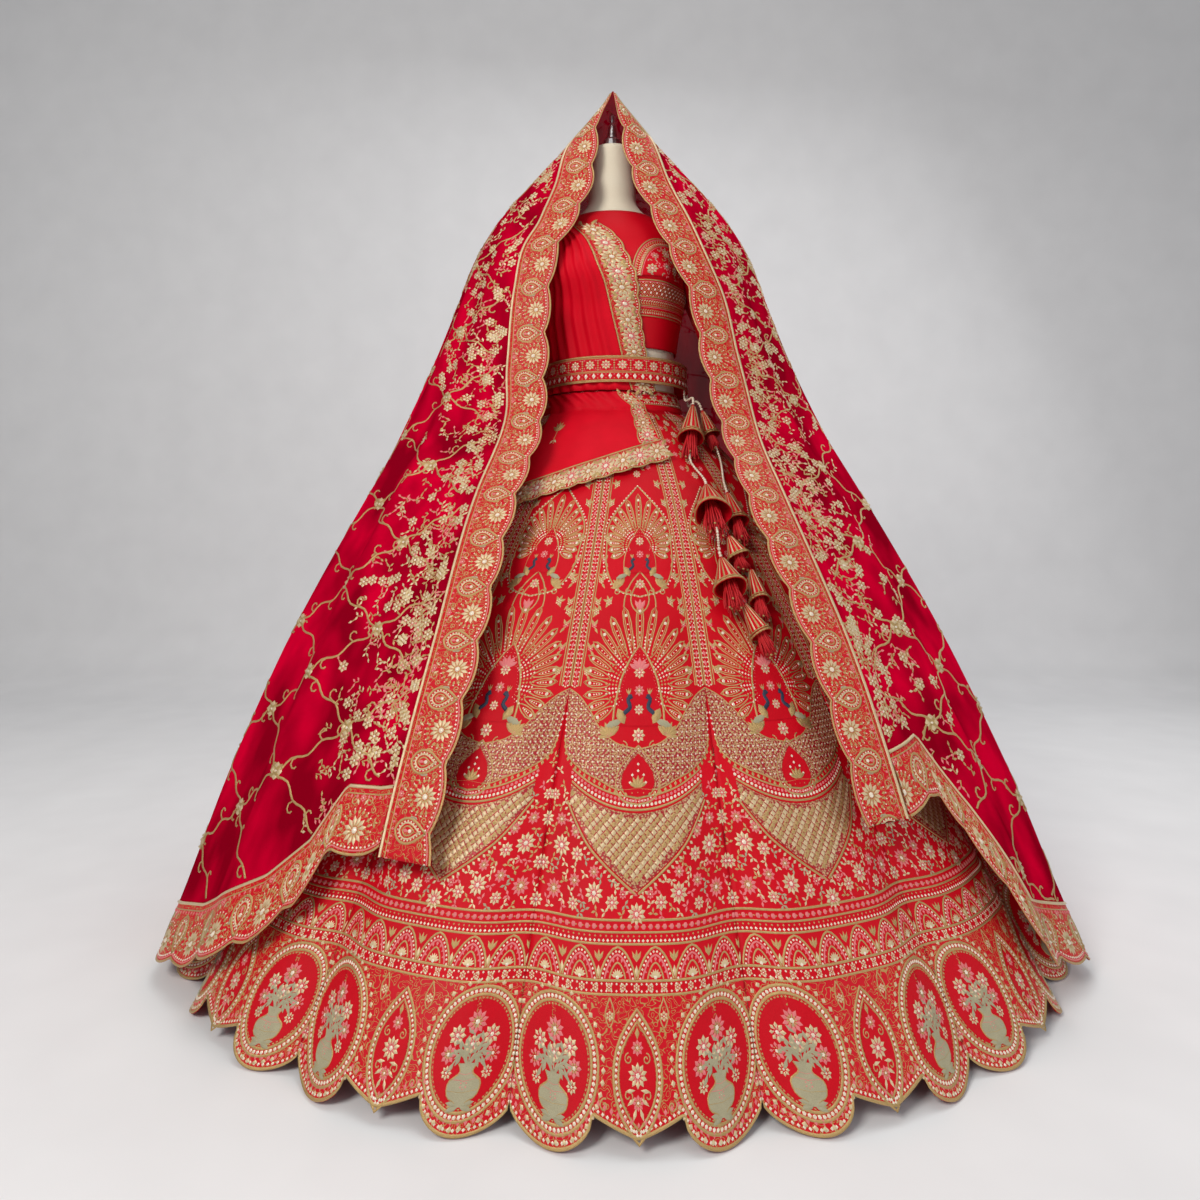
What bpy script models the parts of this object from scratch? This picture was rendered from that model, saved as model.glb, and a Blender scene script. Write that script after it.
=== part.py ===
"""Bridal lehenga choli with a net veil, standing on a limbless dress form.

Frame: metres, +Z up, floor at Z 0, the wearer's front towards -Y, the viewer's right is +X.
Angles run round the form: 0 is the front centre and positive turns to the viewer's right.
"""
from math import cos, pi, radians, sin, tau

import bmesh
import bpy
import numpy as np
from mathutils import Vector

GAP = 0.0003
HALF_GAP = GAP / 2

# The dress form and its stand
AXIS_Y = 0.19
FORM_TURN_STEPS = 36
FORM_EASE = 0.0022
ROW_CLEAR = 0.004
FORM_SECTIONS = (
    ("z", "side", "front", "back"),
    (0.900, 0.158, 0.112, 0.116),
    (0.950, 0.144, 0.104, 0.108),
    (1.003, 0.132, 0.097, 0.096),
    (1.050, 0.128, 0.094, 0.090),
    (1.087, 0.131, 0.096, 0.090),
    (1.147, 0.140, 0.103, 0.095),
    (1.182, 0.147, 0.106, 0.099),
    (1.217, 0.153, 0.107, 0.102),
    (1.234, 0.156, 0.106, 0.103),
    (1.250, 0.158, 0.105, 0.104),
    (1.282, 0.160, 0.100, 0.104),
    (1.312, 0.158, 0.092, 0.099),
    (1.326, 0.1515, 0.0868, 0.0938),
    (1.338, 0.142, 0.081, 0.088),
    (1.358, 0.112, 0.069, 0.075),
    (1.374, 0.082, 0.059, 0.064),
    (1.395, 0.058, 0.051, 0.054),
    (1.440, 0.049, 0.047, 0.048),
    (1.520, 0.045, 0.044, 0.045),
)
BUST_ANGLE = radians(28)
BUST_Z = 1.234
BUST_RISE = 0.024
BUST_SPREAD = radians(20)
BUST_HEIGHT = 0.040
CAP_RADIUS = 0.021
CAP_TOP = 1.548
FINIAL_TOP = 1.6000
POLE_RADIUS = 0.0125
BASE_RADIUS = 0.17
BASE_THICKNESS = 0.018
BASE_DOME = 0.008

# The skirt: fourteen flared panels, the first one at the front centre
KALI_COUNT = 14
KALI_STEPS = 12
SKIRT_TOP = 0.958
SKIRT_WALL = 0.0018
WAIST_SIDE = 0.150
WAIST_DEPTH = 0.113
HEM_SIDE = 0.777
HEM_DEPTH = 0.655
FLARE = 0.8
TWIST = radians(7)
TWIST_Z = 0.81
KALI_ROWS = (0.80, 0.55, 0.28)
HEM_CLEAR = 0.0016
HEM_NOTCH = 0.034
POINT_TIP = 0.016
VALLEY_SPREAD = radians(4.2)
# How deep the cloth folds in at each seam, at the hem, starting right of the front panel
VALLEY_DEPTHS = (0.034, 0.022, 0.030, 0.024, 0.034, 0.026, 0.030,
                 0.034, 0.024, 0.030, 0.022, 0.036, 0.026, 0.030)

# The waistband and the belt
WAISTBAND_TOP = 1.003
WAISTBAND_WALL = 0.0025
WAISTBAND_OFF = 0.0007
WAISTBAND_INSET = 0.0013
WAISTBAND_DROP = 0.0009
BELT_TOP = 1.066
BELT_HEIGHT = 0.052
BELT_DROOP = 0.014
BELT_WALL = 0.0022
BELT_OFFSETS = (
    ("angle", "off"),
    (-180, 0.0164),
    (-100, 0.0160),
    (-40, 0.0160),
    (0, 0.0162),
    (60, 0.0235),
    (100, 0.0270),
    (180, 0.0164),
)

# The blouse, cut round the armholes, a little off the form
CHOLI_OFF = 0.0026
CHOLI_WALL = 0.0014
CHOLI_HEM = 1.087
PANEL_REACH = 0.12
BAND_LOW = 1.147
BAND_HIGH = 1.217
NECK_Z = 1.374
SIDE_SEAM = radians(90)
ARMHOLE_Z = 1.272
ARMHOLE_HALF_HEIGHT = 0.062
ARMHOLE_TURN = radians(26)
CUP_OFF = CHOLI_OFF + CHOLI_WALL + 0.0024
CUP_WALL = 0.0012
CUP_LOW = 1.2215
CUP_HIGH = 1.308
CUP_TURNS = (radians(11), radians(60))
CUP_ARCH = radians(20)
SLEEVE_WALL = 0.0014
SLEEVE_STEPS = 16
SLEEVE_CUFF = (0.232, 0.165, 1.105)
CUFF_RADIUS = 0.050
SLEEVE_RINGS = 5
SLEEVE_LAP = 0.0020

# The pleated chiffon drape, lying on the blouse and, below the belt, on the skirt
DRAPE_WALL = 0.0010
DRAPE_LIFT = 0.0088
PLEAT_RISE = 0.0050
PLEAT_COUNT = 7
BACK_PLEAT_COUNT = 4
PLEAT_STEPS = 3
PLEATED_SHARE = 0.93
DRAPE_FRONT = (
    ("z", "outer", "inner"),
    (0.999, -74, 14),
    (1.050, -76, 8),
    (1.087, -76, 4),
    (1.117, -76, 1),
    (1.147, -74, -2),
    (1.182, -66, -5),
    (1.217, -58, -8),
    (1.250, -56, -12),
    (1.282, -56, -16),
    (1.312, -58, -22),
    (1.338, -66, -33),
)
DRAPE_BACK = (
    ("z", "outer", "inner"),
    (0.999, 196, 254),
    (1.050, 197, 255),
    (1.087, 198, 254),
    (1.147, 200, 250),
    (1.217, 204, 238),
    (1.282, 206, 236),
    (1.312, 210, 238),
    (1.338, 214, 246),
)
EDGE_WIDTH = 0.050
TAIL_TOP = 0.9955
TAIL_LIFT = 0.0060
TAIL_ROWS = 5
TAIL_STEPS = PLEAT_COUNT * PLEAT_STEPS
# Below the belt: where the tail's left edge, right edge and hem fall, by height
TAIL_LEFT = (-0.112, -0.185)
TAIL_RIGHT = (0.052, 0.085)
TAIL_HEM = (0.800, 0.892)
TAIL_FOLD = 0.0045
TAIL_FOLD_COUNT = 3
TAIL_STIFF = 0.004
TAIL_EDGE = 0.18
TAIL_SCALLOP = 0.10

# The veil: a cloak of net from the finial to the floor, open in front
VEIL_WALL = 0.0010
VEIL_PEAK = (0.0, 0.155, 1.632)
VEIL_SECTIONS = (
    ("z", "side", "front", "back", "centre", "left_edge", "right_edge"),
    (1.632, 0.000, 0.000, 0.000, 0.155, 30, 10),
    (1.610, 0.016, 0.016, 0.018, 0.162, 30, 10),
    (1.590, 0.036, 0.032, 0.038, 0.172, 30, 10),
    (1.550, 0.075, 0.052, 0.064, 0.186, 21, 9),
    (1.450, 0.168, 0.080, 0.092, 0.190, 12, 10),
    (1.360, 0.244, 0.104, 0.128, 0.190, 15, 16),
    (1.280, 0.288, 0.130, 0.142, 0.190, 21, 20),
    (1.200, 0.316, 0.146, 0.152, 0.190, 22, 25),
    (1.060, 0.369, 0.168, 0.190, 0.190, 20, 26),
    (0.907, 0.436, 0.222, 0.240, 0.179, 18, 26),
    (0.785, 0.490, 0.318, 0.300, 0.156, 20, 26),
    (0.535, 0.602, 0.450, 0.440, 0.106, 21, 28),
    (0.305, 0.690, 0.554, 0.556, 0.060, 22, 28),
    (0.116, 0.746, 0.628, 0.628, 0.023, 22, 28),
    (0.003, 0.784, 0.668, 0.668, 0.000, 22, 28),
)
VEIL_HEM = (
    ("turn", "z"),
    (22, 0.284), (31, 0.262), (36, 0.260), (40, 0.186), (46, 0.130), (60, 0.052), (73, 0.014),
    (86, 0.004), (104, 0.004), (124, 0.070), (150, 0.330), (180, 0.480),
    (210, 0.330), (236, 0.070), (256, 0.004), (277, 0.004), (290, 0.020), (300, 0.055),
    (307, 0.084), (313, 0.220), (318, 0.318), (326, 0.300), (332, 0.312),
)
VEIL_HEM_LEVEL = 0.20
VEIL_ROWS = (0.022, 0.052, 0.11, 0.18, 0.25, 0.35, 0.48, 0.65, 0.82, 1.0)
VEIL_STEPS = 60
END_STEPS = 16
BORDER_WIDTH = 0.085
BORDER_MAX_TURN = radians(62)
BORDER_SPLIT = 3
SCALLOP = 0.010
# Soft upright folds of the net: where they stand round the form, how far out, how wide
VEIL_FOLDS = (
    ("turn", "rise", "spread"),
    (52, 0.020, 5), (68, 0.026, 6), (84, 0.016, 5), (101, 0.024, 6), (119, 0.018, 6),
    (138, 0.024, 7), (158, 0.018, 6), (180, 0.022, 7), (203, 0.018, 6), (222, 0.024, 7),
    (241, 0.018, 6), (259, 0.024, 6), (276, 0.016, 5), (292, 0.026, 6), (308, 0.020, 5),
)

# The latkans at the viewer's right: cloth bells with thread tassels, strung one below another.
# Places on the skirt's front are given by X and Z, and stand is the lift off the skirt.
CORD_RADIUS = 0.003
CORD_STEP = 0.010
CORD_EASE = 0.012
BELL_STEPS = 10
BELL_WALL = 0.0012
BELL_TIP = 0.0030
TASSEL_ROWS = 3
TASSEL_SEAT = 0.34
TASSEL_PAD = 0.08
TASSEL_REACH = 1.42
STRAND_HALF = 0.0013
LATKANS = (
    ("x", "z", "stand", "to_x", "to_z", "to_stand", "radius"),
    (0.1540, 0.965, 0.0695, 0.1435, 0.894, 0.0280, 0.0245),
    (0.1624, 0.8005, 0.0140, 0.1634, 0.7452, 0.0370, 0.0318),
    (0.2030, 0.7866, 0.0120, 0.2116, 0.7301, 0.0240, 0.0191),
    (0.1876, 0.7069, 0.0330, 0.2012, 0.6712, 0.0270, 0.0186),
    (0.1712, 0.6702, 0.0150, 0.1781, 0.6203, 0.0320, 0.0268),
    (0.2207, 0.6514, 0.0220, 0.2284, 0.5997, 0.0220, 0.0165),
    (0.1971, 0.5977, 0.0240, 0.2219, 0.5489, 0.0240, 0.0175),
    (0.1746, 0.9565, 0.0655, 0.1900, 0.905, 0.0300, 0.0160),
)
# Bells on a cord from the belt, by the cord's turn on it, and on a cord from another bell
BELT_CORDS = (("bell", "belt_turn"), (1, 70), (8, 90))
BELL_CORDS = (("bell", "above"), (2, 1), (3, 8), (5, 2))
# Bells tied straight to a strand of the tassel above
STRAND_TIES = (("bell", "above"), (4, 2), (6, 4), (7, 5))

for thing in list(bpy.data.objects):
    bpy.data.objects.remove(thing, do_unlink=True)

outfit = bpy.data.collections.new("lehenga_choli")
bpy.context.scene.collection.children.link(outfit)


def material(name, colour, roughness, metallic=0.0):
    """One plain finish for a group of sub-parts."""
    made = bpy.data.materials.new(name)
    made.use_nodes = True
    shader = made.node_tree.nodes["Principled BSDF"]
    shader.inputs["Base Color"].default_value = (*colour, 1.0)
    shader.inputs["Roughness"].default_value = roughness
    shader.inputs["Metallic"].default_value = metallic
    return made


LINEN = material("form_linen", (0.72, 0.62, 0.46), 0.9)
STEEL = material("stand_steel", (0.55, 0.55, 0.56), 0.3, 1.0)
SATIN = material("red_satin", (0.62, 0.01, 0.03), 0.45)
EMBROIDERED = material("embroidered_satin", (0.58, 0.22, 0.12), 0.5, 0.2)
NET = material("crimson_net", (0.42, 0.01, 0.03), 0.7)
CHIFFON = material("red_chiffon", (0.70, 0.02, 0.03), 0.6)
BEADS = material("pearl_beads", (0.80, 0.66, 0.42), 0.3, 0.3)
THREAD = material("red_thread", (0.60, 0.02, 0.02), 0.8)


def column(table, name):
    """One named column of a table whose first row holds the names."""
    place = table[0].index(name)
    return np.array([row[place] for row in table[1:]], float)


def smooth(table, key, name, at):
    """A smooth curve through a table's rows, read at one value of its key column."""
    keys = column(table, key)
    values = column(table, name)
    if keys[0] > keys[-1]:
        keys, values = keys[::-1], values[::-1]
    at = min(max(at, keys[0]), keys[-1])
    slopes = np.gradient(values, keys)
    i = min(int(np.searchsorted(keys, at, side="right")) - 1, len(keys) - 2)
    span = keys[i + 1] - keys[i]
    s = (at - keys[i]) / span
    return float(
        (2 * s**3 - 3 * s**2 + 1) * values[i] + (s**3 - 2 * s**2 + s) * span * slopes[i]
        + (3 * s**2 - 2 * s**3) * values[i + 1] + (s**3 - s**2) * span * slopes[i + 1]
    )


def bell_curve(x, spread):
    """A soft bump of height 1 and the given half width."""
    return float(np.exp(-((x / spread) ** 2)))


def angle_between(a, b):
    """The signed turn from b to a, between half a turn each way."""
    return (a - b + pi) % tau - pi


def body(turn, z, off=0.0):
    """A point on the dress form, moved out by off in the level plane."""
    side = smooth(FORM_SECTIONS, "z", "side", z)
    depth = smooth(FORM_SECTIONS, "z", "front" if cos(turn) > 0 else "back", z)
    bust = sum(bell_curve(angle_between(turn, s * BUST_ANGLE), BUST_SPREAD) for s in (-1, 1))
    out = off + BUST_RISE * bust * bell_curve(z - BUST_Z, BUST_HEIGHT)
    return Vector(((side + out) * sin(turn), AXIS_Y - (depth + out) * cos(turn), z))


def skirt_axes(z):
    """The skirt's side and front half widths and its centre at one height."""
    fall = min(max((SKIRT_TOP - z) / SKIRT_TOP, 0.0), 1.0)
    flare = fall**FLARE
    side = WAIST_SIDE + (HEM_SIDE - WAIST_SIDE) * flare
    depth = WAIST_DEPTH + (HEM_DEPTH - WAIST_DEPTH) * flare
    return side, depth, AXIS_Y * (1 - fall), fall


def equal_seams(count):
    """Angles that part the hem's ellipse into arcs of one length, from the front centre."""
    turns = np.linspace(0, tau, 2881)
    x, y = HEM_SIDE * np.sin(turns), HEM_DEPTH * np.cos(turns)
    run = np.concatenate(([0], np.cumsum(np.hypot(np.diff(x), np.diff(y)))))
    return [float(np.interp((k + 0.5) / count, run / run[-1], turns)) for k in range(count)]


SEAMS = equal_seams(KALI_COUNT)


def skirt(turn, z, off=0.0):
    """A point on the skirt's outer face: an ellipse that flares, folded in at the seams."""
    side, depth, centre, fall = skirt_axes(z)
    folds = sum(
        depth_in * bell_curve(angle_between(turn, seam), VALLEY_SPREAD)
        for seam, depth_in in zip(SEAMS, VALLEY_DEPTHS)
    )
    out = off - folds * fall**1.6
    angle = turn + TWIST * (z / TWIST_Z) ** 2 * cos(turn / 2) ** 2
    return Vector(((side + out) * sin(angle), centre - (depth + out) * cos(angle), z))


def skirt_front(x, z, off):
    """A point on the skirt's front above the given X and Z, without its seam folds."""
    side, depth, centre, _ = skirt_axes(z)
    y = centre - (depth + off) * (1 - min(abs(x) / (side + off), 0.98) ** 2) ** 0.5
    return Vector((x, y, z))


def level_gap(point, turn, z, step=0.004):
    """How much turn makes half a seam's gap at a place on a surface function."""
    reach = (point(turn + step, z) - point(turn - step, z)).length / (2 * step)
    return HALF_GAP / reach


def add(name, made_of, finish, verts, faces):
    """Makes one object from corners and faces, and puts it in the outfit."""
    mesh = bpy.data.meshes.new(name)
    mesh.from_pydata([tuple(v) for v in verts], [], faces)
    obj = bpy.data.objects.new(name, mesh)
    obj["made_of"] = made_of
    outfit.objects.link(obj)
    mesh.materials.append(finish)
    return obj


def cloth(name, rows, wall, outward, finish, ring=False, made_of="cloth"):
    """A sheet through rows of points, given its wall by Solidify.

    Seen from outside, the rows run top to bottom and each row runs left to right.
    """
    wide = len(rows[0])
    verts = [p for row in rows for p in row]
    faces = []
    for i in range(len(rows) - 1):
        for j in range(wide if ring else wide - 1):
            k = (j + 1) % wide
            faces.append((i * wide + j, (i + 1) * wide + j, (i + 1) * wide + k, i * wide + k))
    obj = add(name, made_of, finish, verts, faces)
    shape = bmesh.new()
    shape.from_mesh(obj.data)
    bmesh.ops.remove_doubles(shape, verts=shape.verts, dist=0.00001)
    shape.to_mesh(obj.data)
    shape.free()
    thick = obj.modifiers.new("wall", "SOLIDIFY")
    thick.thickness = wall
    thick.offset = 1 if outward else -1
    return obj


def turned(name, profile, finish, steps, at=(0.0, AXIS_Y, 0.0)):
    """A turned solid: a profile from the axis out and down, and back to the axis."""
    obj = add(name, "turned", finish, [(r, 0, z) for r, z in profile], [])
    obj.data.edges.add(len(profile) - 1)
    for i, edge in enumerate(obj.data.edges):
        edge.vertices = (i, i + 1)
    screw = obj.modifiers.new("turn", "SCREW")
    screw.steps = steps
    screw.render_steps = steps
    screw.use_merge_vertices = True
    screw.merge_threshold = 0.0001
    obj.location = at
    return obj


def spread(start, end, count):
    """Evenly spaced values, both ends included."""
    return [start + (end - start) * i / (count - 1) for i in range(count)]


def make_form():
    """The limbless linen form with its metal neck cap, finial, pole and floor plate."""
    heights = column(FORM_SECTIONS, "z")
    turns = [tau * j / FORM_TURN_STEPS for j in range(FORM_TURN_STEPS)]
    rows = [
        [body(-turn, z, -FORM_EASE if CHOLI_HEM < z < NECK_Z else 0.0) for turn in turns] for z in heights
    ]
    wide = FORM_TURN_STEPS
    verts = [p for row in rows for p in row]
    faces = [tuple(range(wide)), tuple(reversed(range(len(verts) - wide, len(verts))))]
    for i in range(len(rows) - 1):
        for j in range(wide):
            k = (j + 1) % wide
            faces.append((i * wide + k, i * wide + j, (i + 1) * wide + j, (i + 1) * wide + k))
    torso = add("form_torso", "padded form", LINEN, verts, faces)
    shape = bmesh.new()
    shape.from_mesh(torso.data)
    bmesh.ops.recalc_face_normals(shape, faces=shape.faces)
    shape.to_mesh(torso.data)
    shape.free()
    neck_top, hip = heights[-1], heights[0]
    turned("form_cap", [
        (0, FINIAL_TOP), (0.0040, FINIAL_TOP - 0.001), (0.0070, FINIAL_TOP - 0.006),
        (0.0062, FINIAL_TOP - 0.014), (0.0045, FINIAL_TOP - 0.018), (0.0085, FINIAL_TOP - 0.026),
        (0.0100, CAP_TOP + 0.010), (0.0115, CAP_TOP), (CAP_RADIUS * 0.62, CAP_TOP),
        (CAP_RADIUS * 0.9, CAP_TOP - 0.006),
        (CAP_RADIUS, neck_top + 0.010), (CAP_RADIUS * 1.2, neck_top + 0.006),
        (CAP_RADIUS * 1.2, neck_top + GAP), (0, neck_top + GAP),
    ], STEEL, 16)
    turned("form_pole", [
        (0, hip - GAP), (POLE_RADIUS, hip - GAP), (POLE_RADIUS, BASE_THICKNESS + BASE_DOME + GAP),
        (0, BASE_THICKNESS + BASE_DOME + GAP),
    ], STEEL, 14)
    turned("form_base", [
        (0, BASE_THICKNESS + BASE_DOME), (POLE_RADIUS * 2, BASE_THICKNESS + BASE_DOME),
        (BASE_RADIUS * 0.6, BASE_THICKNESS), (BASE_RADIUS * 0.97, BASE_THICKNESS * 0.7),
        (BASE_RADIUS, BASE_THICKNESS * 0.4), (BASE_RADIUS, 0), (0, 0),
    ], STEEL, 24)


def hem_height(share):
    """The scalloped hem of one panel: a round lobe, a pointed one and a round one."""
    lobe = min(int(share * 3), 2)
    x = (share * 3 - lobe) * 2 - 1
    if lobe == 1:
        return HEM_CLEAR + POINT_TIP + (HEM_NOTCH - POINT_TIP) * abs(x) ** 1.2
    return HEM_CLEAR + HEM_NOTCH * (1 - (1 - x * x) ** 0.5)


def make_skirt():
    """Fourteen flared panels sewn side to side, each from the waistband to its scalloped hem."""
    for k in range(KALI_COUNT):
        left, right = SEAMS[k - 1], SEAMS[k]
        if left > right:
            left -= tau
        rows = []
        for z in (SKIRT_TOP - GAP, *KALI_ROWS, None):
            row = []
            for j in range(KALI_STEPS + 1):
                share = j / KALI_STEPS
                height = hem_height(share) if z is None else z
                inset = level_gap(skirt, right, height)
                row.append(skirt(left + inset + (right - left - 2 * inset) * share, height))
            rows.append(row)
        cloth(f"kali_{k:02d}", rows, SKIRT_WALL, False, EMBROIDERED, made_of="satin skirt panel")


def make_waistband():
    """A stiff embroidered band round the top of the skirt."""
    turns = [tau * j / FORM_TURN_STEPS for j in range(FORM_TURN_STEPS)]
    top_row = [body(turn, WAISTBAND_TOP, WAISTBAND_OFF) for turn in turns]
    low_row = [
        Vector(((WAIST_SIDE - WAISTBAND_INSET) * sin(turn),
                AXIS_Y - (WAIST_DEPTH - WAISTBAND_INSET) * cos(turn), SKIRT_TOP - WAISTBAND_DROP))
        for turn in turns
    ]
    cloth("waistband", [top_row, low_row], WAISTBAND_WALL, True, EMBROIDERED, ring=True,
          made_of="stiffened satin band")


def belt(turn, share, off=0.0):
    """A point on the belt's inner face, or off it; share runs from its top to its lower edge."""
    z = BELT_TOP - BELT_DROOP * (1 - cos(turn)) / 2 - BELT_HEIGHT * share
    return body(turn, z, smooth(BELT_OFFSETS, "angle", "off", turn * 180 / pi) + off)


def make_belt():
    """The separate embroidered belt, standing a little off at the viewer's right."""
    turns = [tau * j / FORM_TURN_STEPS - pi for j in range(FORM_TURN_STEPS)]
    rows = [[belt(turn, share) for turn in turns] for share in (0.0, 1.0)]
    cloth("belt", rows, BELT_WALL, True, EMBROIDERED, ring=True, made_of="stiffened satin belt")


def side_limit(z):
    """How far round a blouse panel reaches before the side seam or the armhole."""
    high = (z - ARMHOLE_Z) / ARMHOLE_HALF_HEIGHT
    cut = max(0.0, 1 - high * high) ** 0.5 if abs(high) < 1 else 0.0
    return SIDE_SEAM - ARMHOLE_TURN * cut


def body_heights(low, high):
    """The form's own section heights inside a stretch, with both ends."""
    inner = [z for z in column(FORM_SECTIONS, "z") if low + ROW_CLEAR < z < high - ROW_CLEAR]
    return [low, *inner, high]


def blouse_panel(name, low, high, start, end, steps, finish, made_of):
    """A blouse panel between two side limits that may follow the armhole."""
    rows = []
    for z in reversed(body_heights(low, high)):
        inset = HALF_GAP / PANEL_REACH
        turns = spread(start(z) + inset, end(z) - inset, steps + 1)
        rows.append([body(turn, z, CHOLI_OFF) for turn in turns])
    cloth(name, rows, CHOLI_WALL, True, finish, made_of=made_of)


def make_choli():
    """The short blouse: front yoke, two cup panels, under-bust band, hem strip, back and sleeves."""
    def front_left(z):
        return -side_limit(z)

    def back_far(z):
        return tau - side_limit(z)

    blouse_panel("choli_yoke", BAND_HIGH + HALF_GAP, NECK_Z, front_left, side_limit, 16, SATIN,
                 "satin front yoke")
    blouse_panel("choli_underbust_band", BAND_LOW + HALF_GAP, BAND_HIGH - HALF_GAP, front_left,
                 side_limit, 18, EMBROIDERED, "embroidered band")
    blouse_panel("choli_hem_strip", CHOLI_HEM, BAND_LOW - HALF_GAP, front_left, side_limit, 18,
                 SATIN, "satin hem strip")
    blouse_panel("choli_back", CHOLI_HEM, NECK_Z, side_limit, back_far, 14, SATIN, "satin back")
    for side, name in ((-1, "choli_cup_left"), (1, "choli_cup_right")):
        rows = []
        for z in reversed(body_heights(CUP_LOW, CUP_HIGH)):
            share = (z - CUP_LOW) / (CUP_HIGH - CUP_LOW)
            narrow = CUP_ARCH * (1 - (1 - share * share) ** 0.5)
            turns = spread(CUP_TURNS[0] + narrow, CUP_TURNS[1] - narrow * 0.3, 7)
            if side < 0:
                turns = [-turn for turn in reversed(turns)]
            rows.append([body(turn, z, CUP_OFF) for turn in turns])
        cloth(name, rows, CUP_WALL, True, EMBROIDERED, made_of="embroidered cup panel")
    for side, name in ((-1, "choli_sleeve_left"), (1, "choli_sleeve_right")):
        make_sleeve(side, name)


def make_sleeve(side, name):
    """A short sleeve from the armhole to an open cuff, held out by the blouse's side."""
    root_off = CHOLI_OFF + CHOLI_WALL + SLEEVE_LAP
    rows = []
    for ring in range(SLEEVE_RINGS):
        share = ring / (SLEEVE_RINGS - 1)
        row = []
        for j in range(SLEEVE_STEPS):
            turn = tau * j / SLEEVE_STEPS
            z = ARMHOLE_Z + (ARMHOLE_HALF_HEIGHT + 0.006) * sin(turn)
            swing = (ARMHOLE_TURN + radians(4)) * cos(turn)
            root = body(pi / 2 - swing, z, root_off)
            root.x += 0.0022 * max(0.0, sin(turn))
            cuff = Vector((
                SLEEVE_CUFF[0] + CUFF_RADIUS * 0.92 * sin(turn) * 0.80,
                SLEEVE_CUFF[1] - CUFF_RADIUS * cos(turn),
                SLEEVE_CUFF[2] + CUFF_RADIUS * 0.92 * sin(turn) * 0.45,
            ))
            point = root.lerp(cuff, share)
            point.x += 0.030 * sin(pi * share) * max(0.0, sin(turn)) ** 0.5
            row.append(Vector((side * point.x, point.y, point.z)))
        rows.append(row)
    if side < 0:
        rows.reverse()
    cloth(name, rows, SLEEVE_WALL, True, EMBROIDERED, ring=True, made_of="sleeve")


def drape_points(table, z, steps, pleats):
    """One row of the pleated drape on the blouse."""
    outer = radians(smooth(table, "z", "outer", z))
    inner = radians(smooth(table, "z", "inner", z))
    row = []
    for j in range(steps + 1):
        share = j / steps
        rise = PLEAT_RISE * (0.5 - 0.5 * cos(tau * pleats * min(share / PLEATED_SHARE, 1.0)))
        row.append(body(outer + (inner - outer) * share, z, DRAPE_LIFT + rise))
    return row


def make_drape():
    """The chiffon drape: pleats over the front and back, a tail below the belt and two borders."""
    low = column(DRAPE_FRONT, "z")[0]
    top = column(DRAPE_FRONT, "z")[-1]
    heights = body_heights(low, top)
    steps = PLEAT_COUNT * PLEAT_STEPS
    rows = [drape_points(DRAPE_FRONT, z, steps, PLEAT_COUNT) for z in reversed(heights)]
    border = []
    for row, z in zip(rows, reversed(heights)):
        turn = radians(smooth(DRAPE_FRONT, "z", "inner", z))
        inset = level_gap(body, turn, z)
        reach = EDGE_WIDTH / HALF_GAP * inset
        row[-1] = body(turn - inset, z, DRAPE_LIFT)
        border.append([
            body(turn + inset, z, DRAPE_LIFT), body(turn + reach / 2, z, DRAPE_LIFT + 0.0015),
            body(turn + reach, z, DRAPE_LIFT),
        ])
    cloth("drape_front", rows, DRAPE_WALL, True, CHIFFON, made_of="pleated chiffon")
    cloth("drape_front_border", border, DRAPE_WALL, True, EMBROIDERED, made_of="scalloped border")
    back_low, back_top = column(DRAPE_BACK, "z")[0], column(DRAPE_BACK, "z")[-1]
    back_steps = BACK_PLEAT_COUNT * PLEAT_STEPS
    back = [
        drape_points(DRAPE_BACK, z, back_steps, BACK_PLEAT_COUNT)
        for z in reversed(body_heights(back_low, back_top))
    ]
    cloth("drape_back", back, DRAPE_WALL, True, CHIFFON, made_of="pleated chiffon")
    make_tail()


def tail_point(share, fall):
    """A point of the tail: share runs left to right and fall runs from the belt to the hem."""
    left = TAIL_LEFT[0] + (TAIL_LEFT[1] - TAIL_LEFT[0]) * fall
    right = TAIL_RIGHT[0] + (TAIL_RIGHT[1] - TAIL_RIGHT[0]) * fall
    hem = TAIL_HEM[0] + (TAIL_HEM[1] - TAIL_HEM[0]) * share
    x = left + (right - left) * share
    z = TAIL_TOP + (hem - TAIL_TOP) * fall
    fold = TAIL_FOLD * (0.5 + 0.5 * sin(tau * TAIL_FOLD_COUNT * share)) * fall
    stiff = TAIL_STIFF * (1 - fall) if z > SKIRT_TOP else 0.0
    off = TAIL_LIFT + fold + stiff
    return skirt_front(x, z, off)


def make_tail():
    """The fan of chiffon below the belt, with its embroidered border along hem and right edge."""
    falls = spread(0.0, 1.0, TAIL_ROWS)
    shares = spread(0.0, 1.0, TAIL_STEPS + 1)
    low = column(DRAPE_FRONT, "z")[0]
    pleats = [p - Vector((0, 0, GAP * 2)) for p in drape_points(DRAPE_FRONT, low, TAIL_STEPS, PLEAT_COUNT)]
    rows = [pleats, *[[tail_point(share, fall) for share in shares] for fall in falls[1:]]]
    cloth("drape_tail", rows, DRAPE_WALL, True, CHIFFON, made_of="chiffon")
    hem = []
    for step in (0.004, 0.5, 1.0):
        row = []
        for j, share in enumerate(shares):
            scallop = TAIL_SCALLOP if j % 2 and step == 1.0 else 0.0
            row.append(tail_point(share, 1 + TAIL_EDGE * (step + scallop)))
        hem.append(row)
    cloth("drape_tail_border", hem, DRAPE_WALL, True, EMBROIDERED, made_of="scalloped border")


def veil_section(z):
    """The veil's sizes at one height, by the names of its table's columns."""
    return {name: smooth(VEIL_SECTIONS, "z", name, z) for name in VEIL_SECTIONS[0][1:]}


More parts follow.
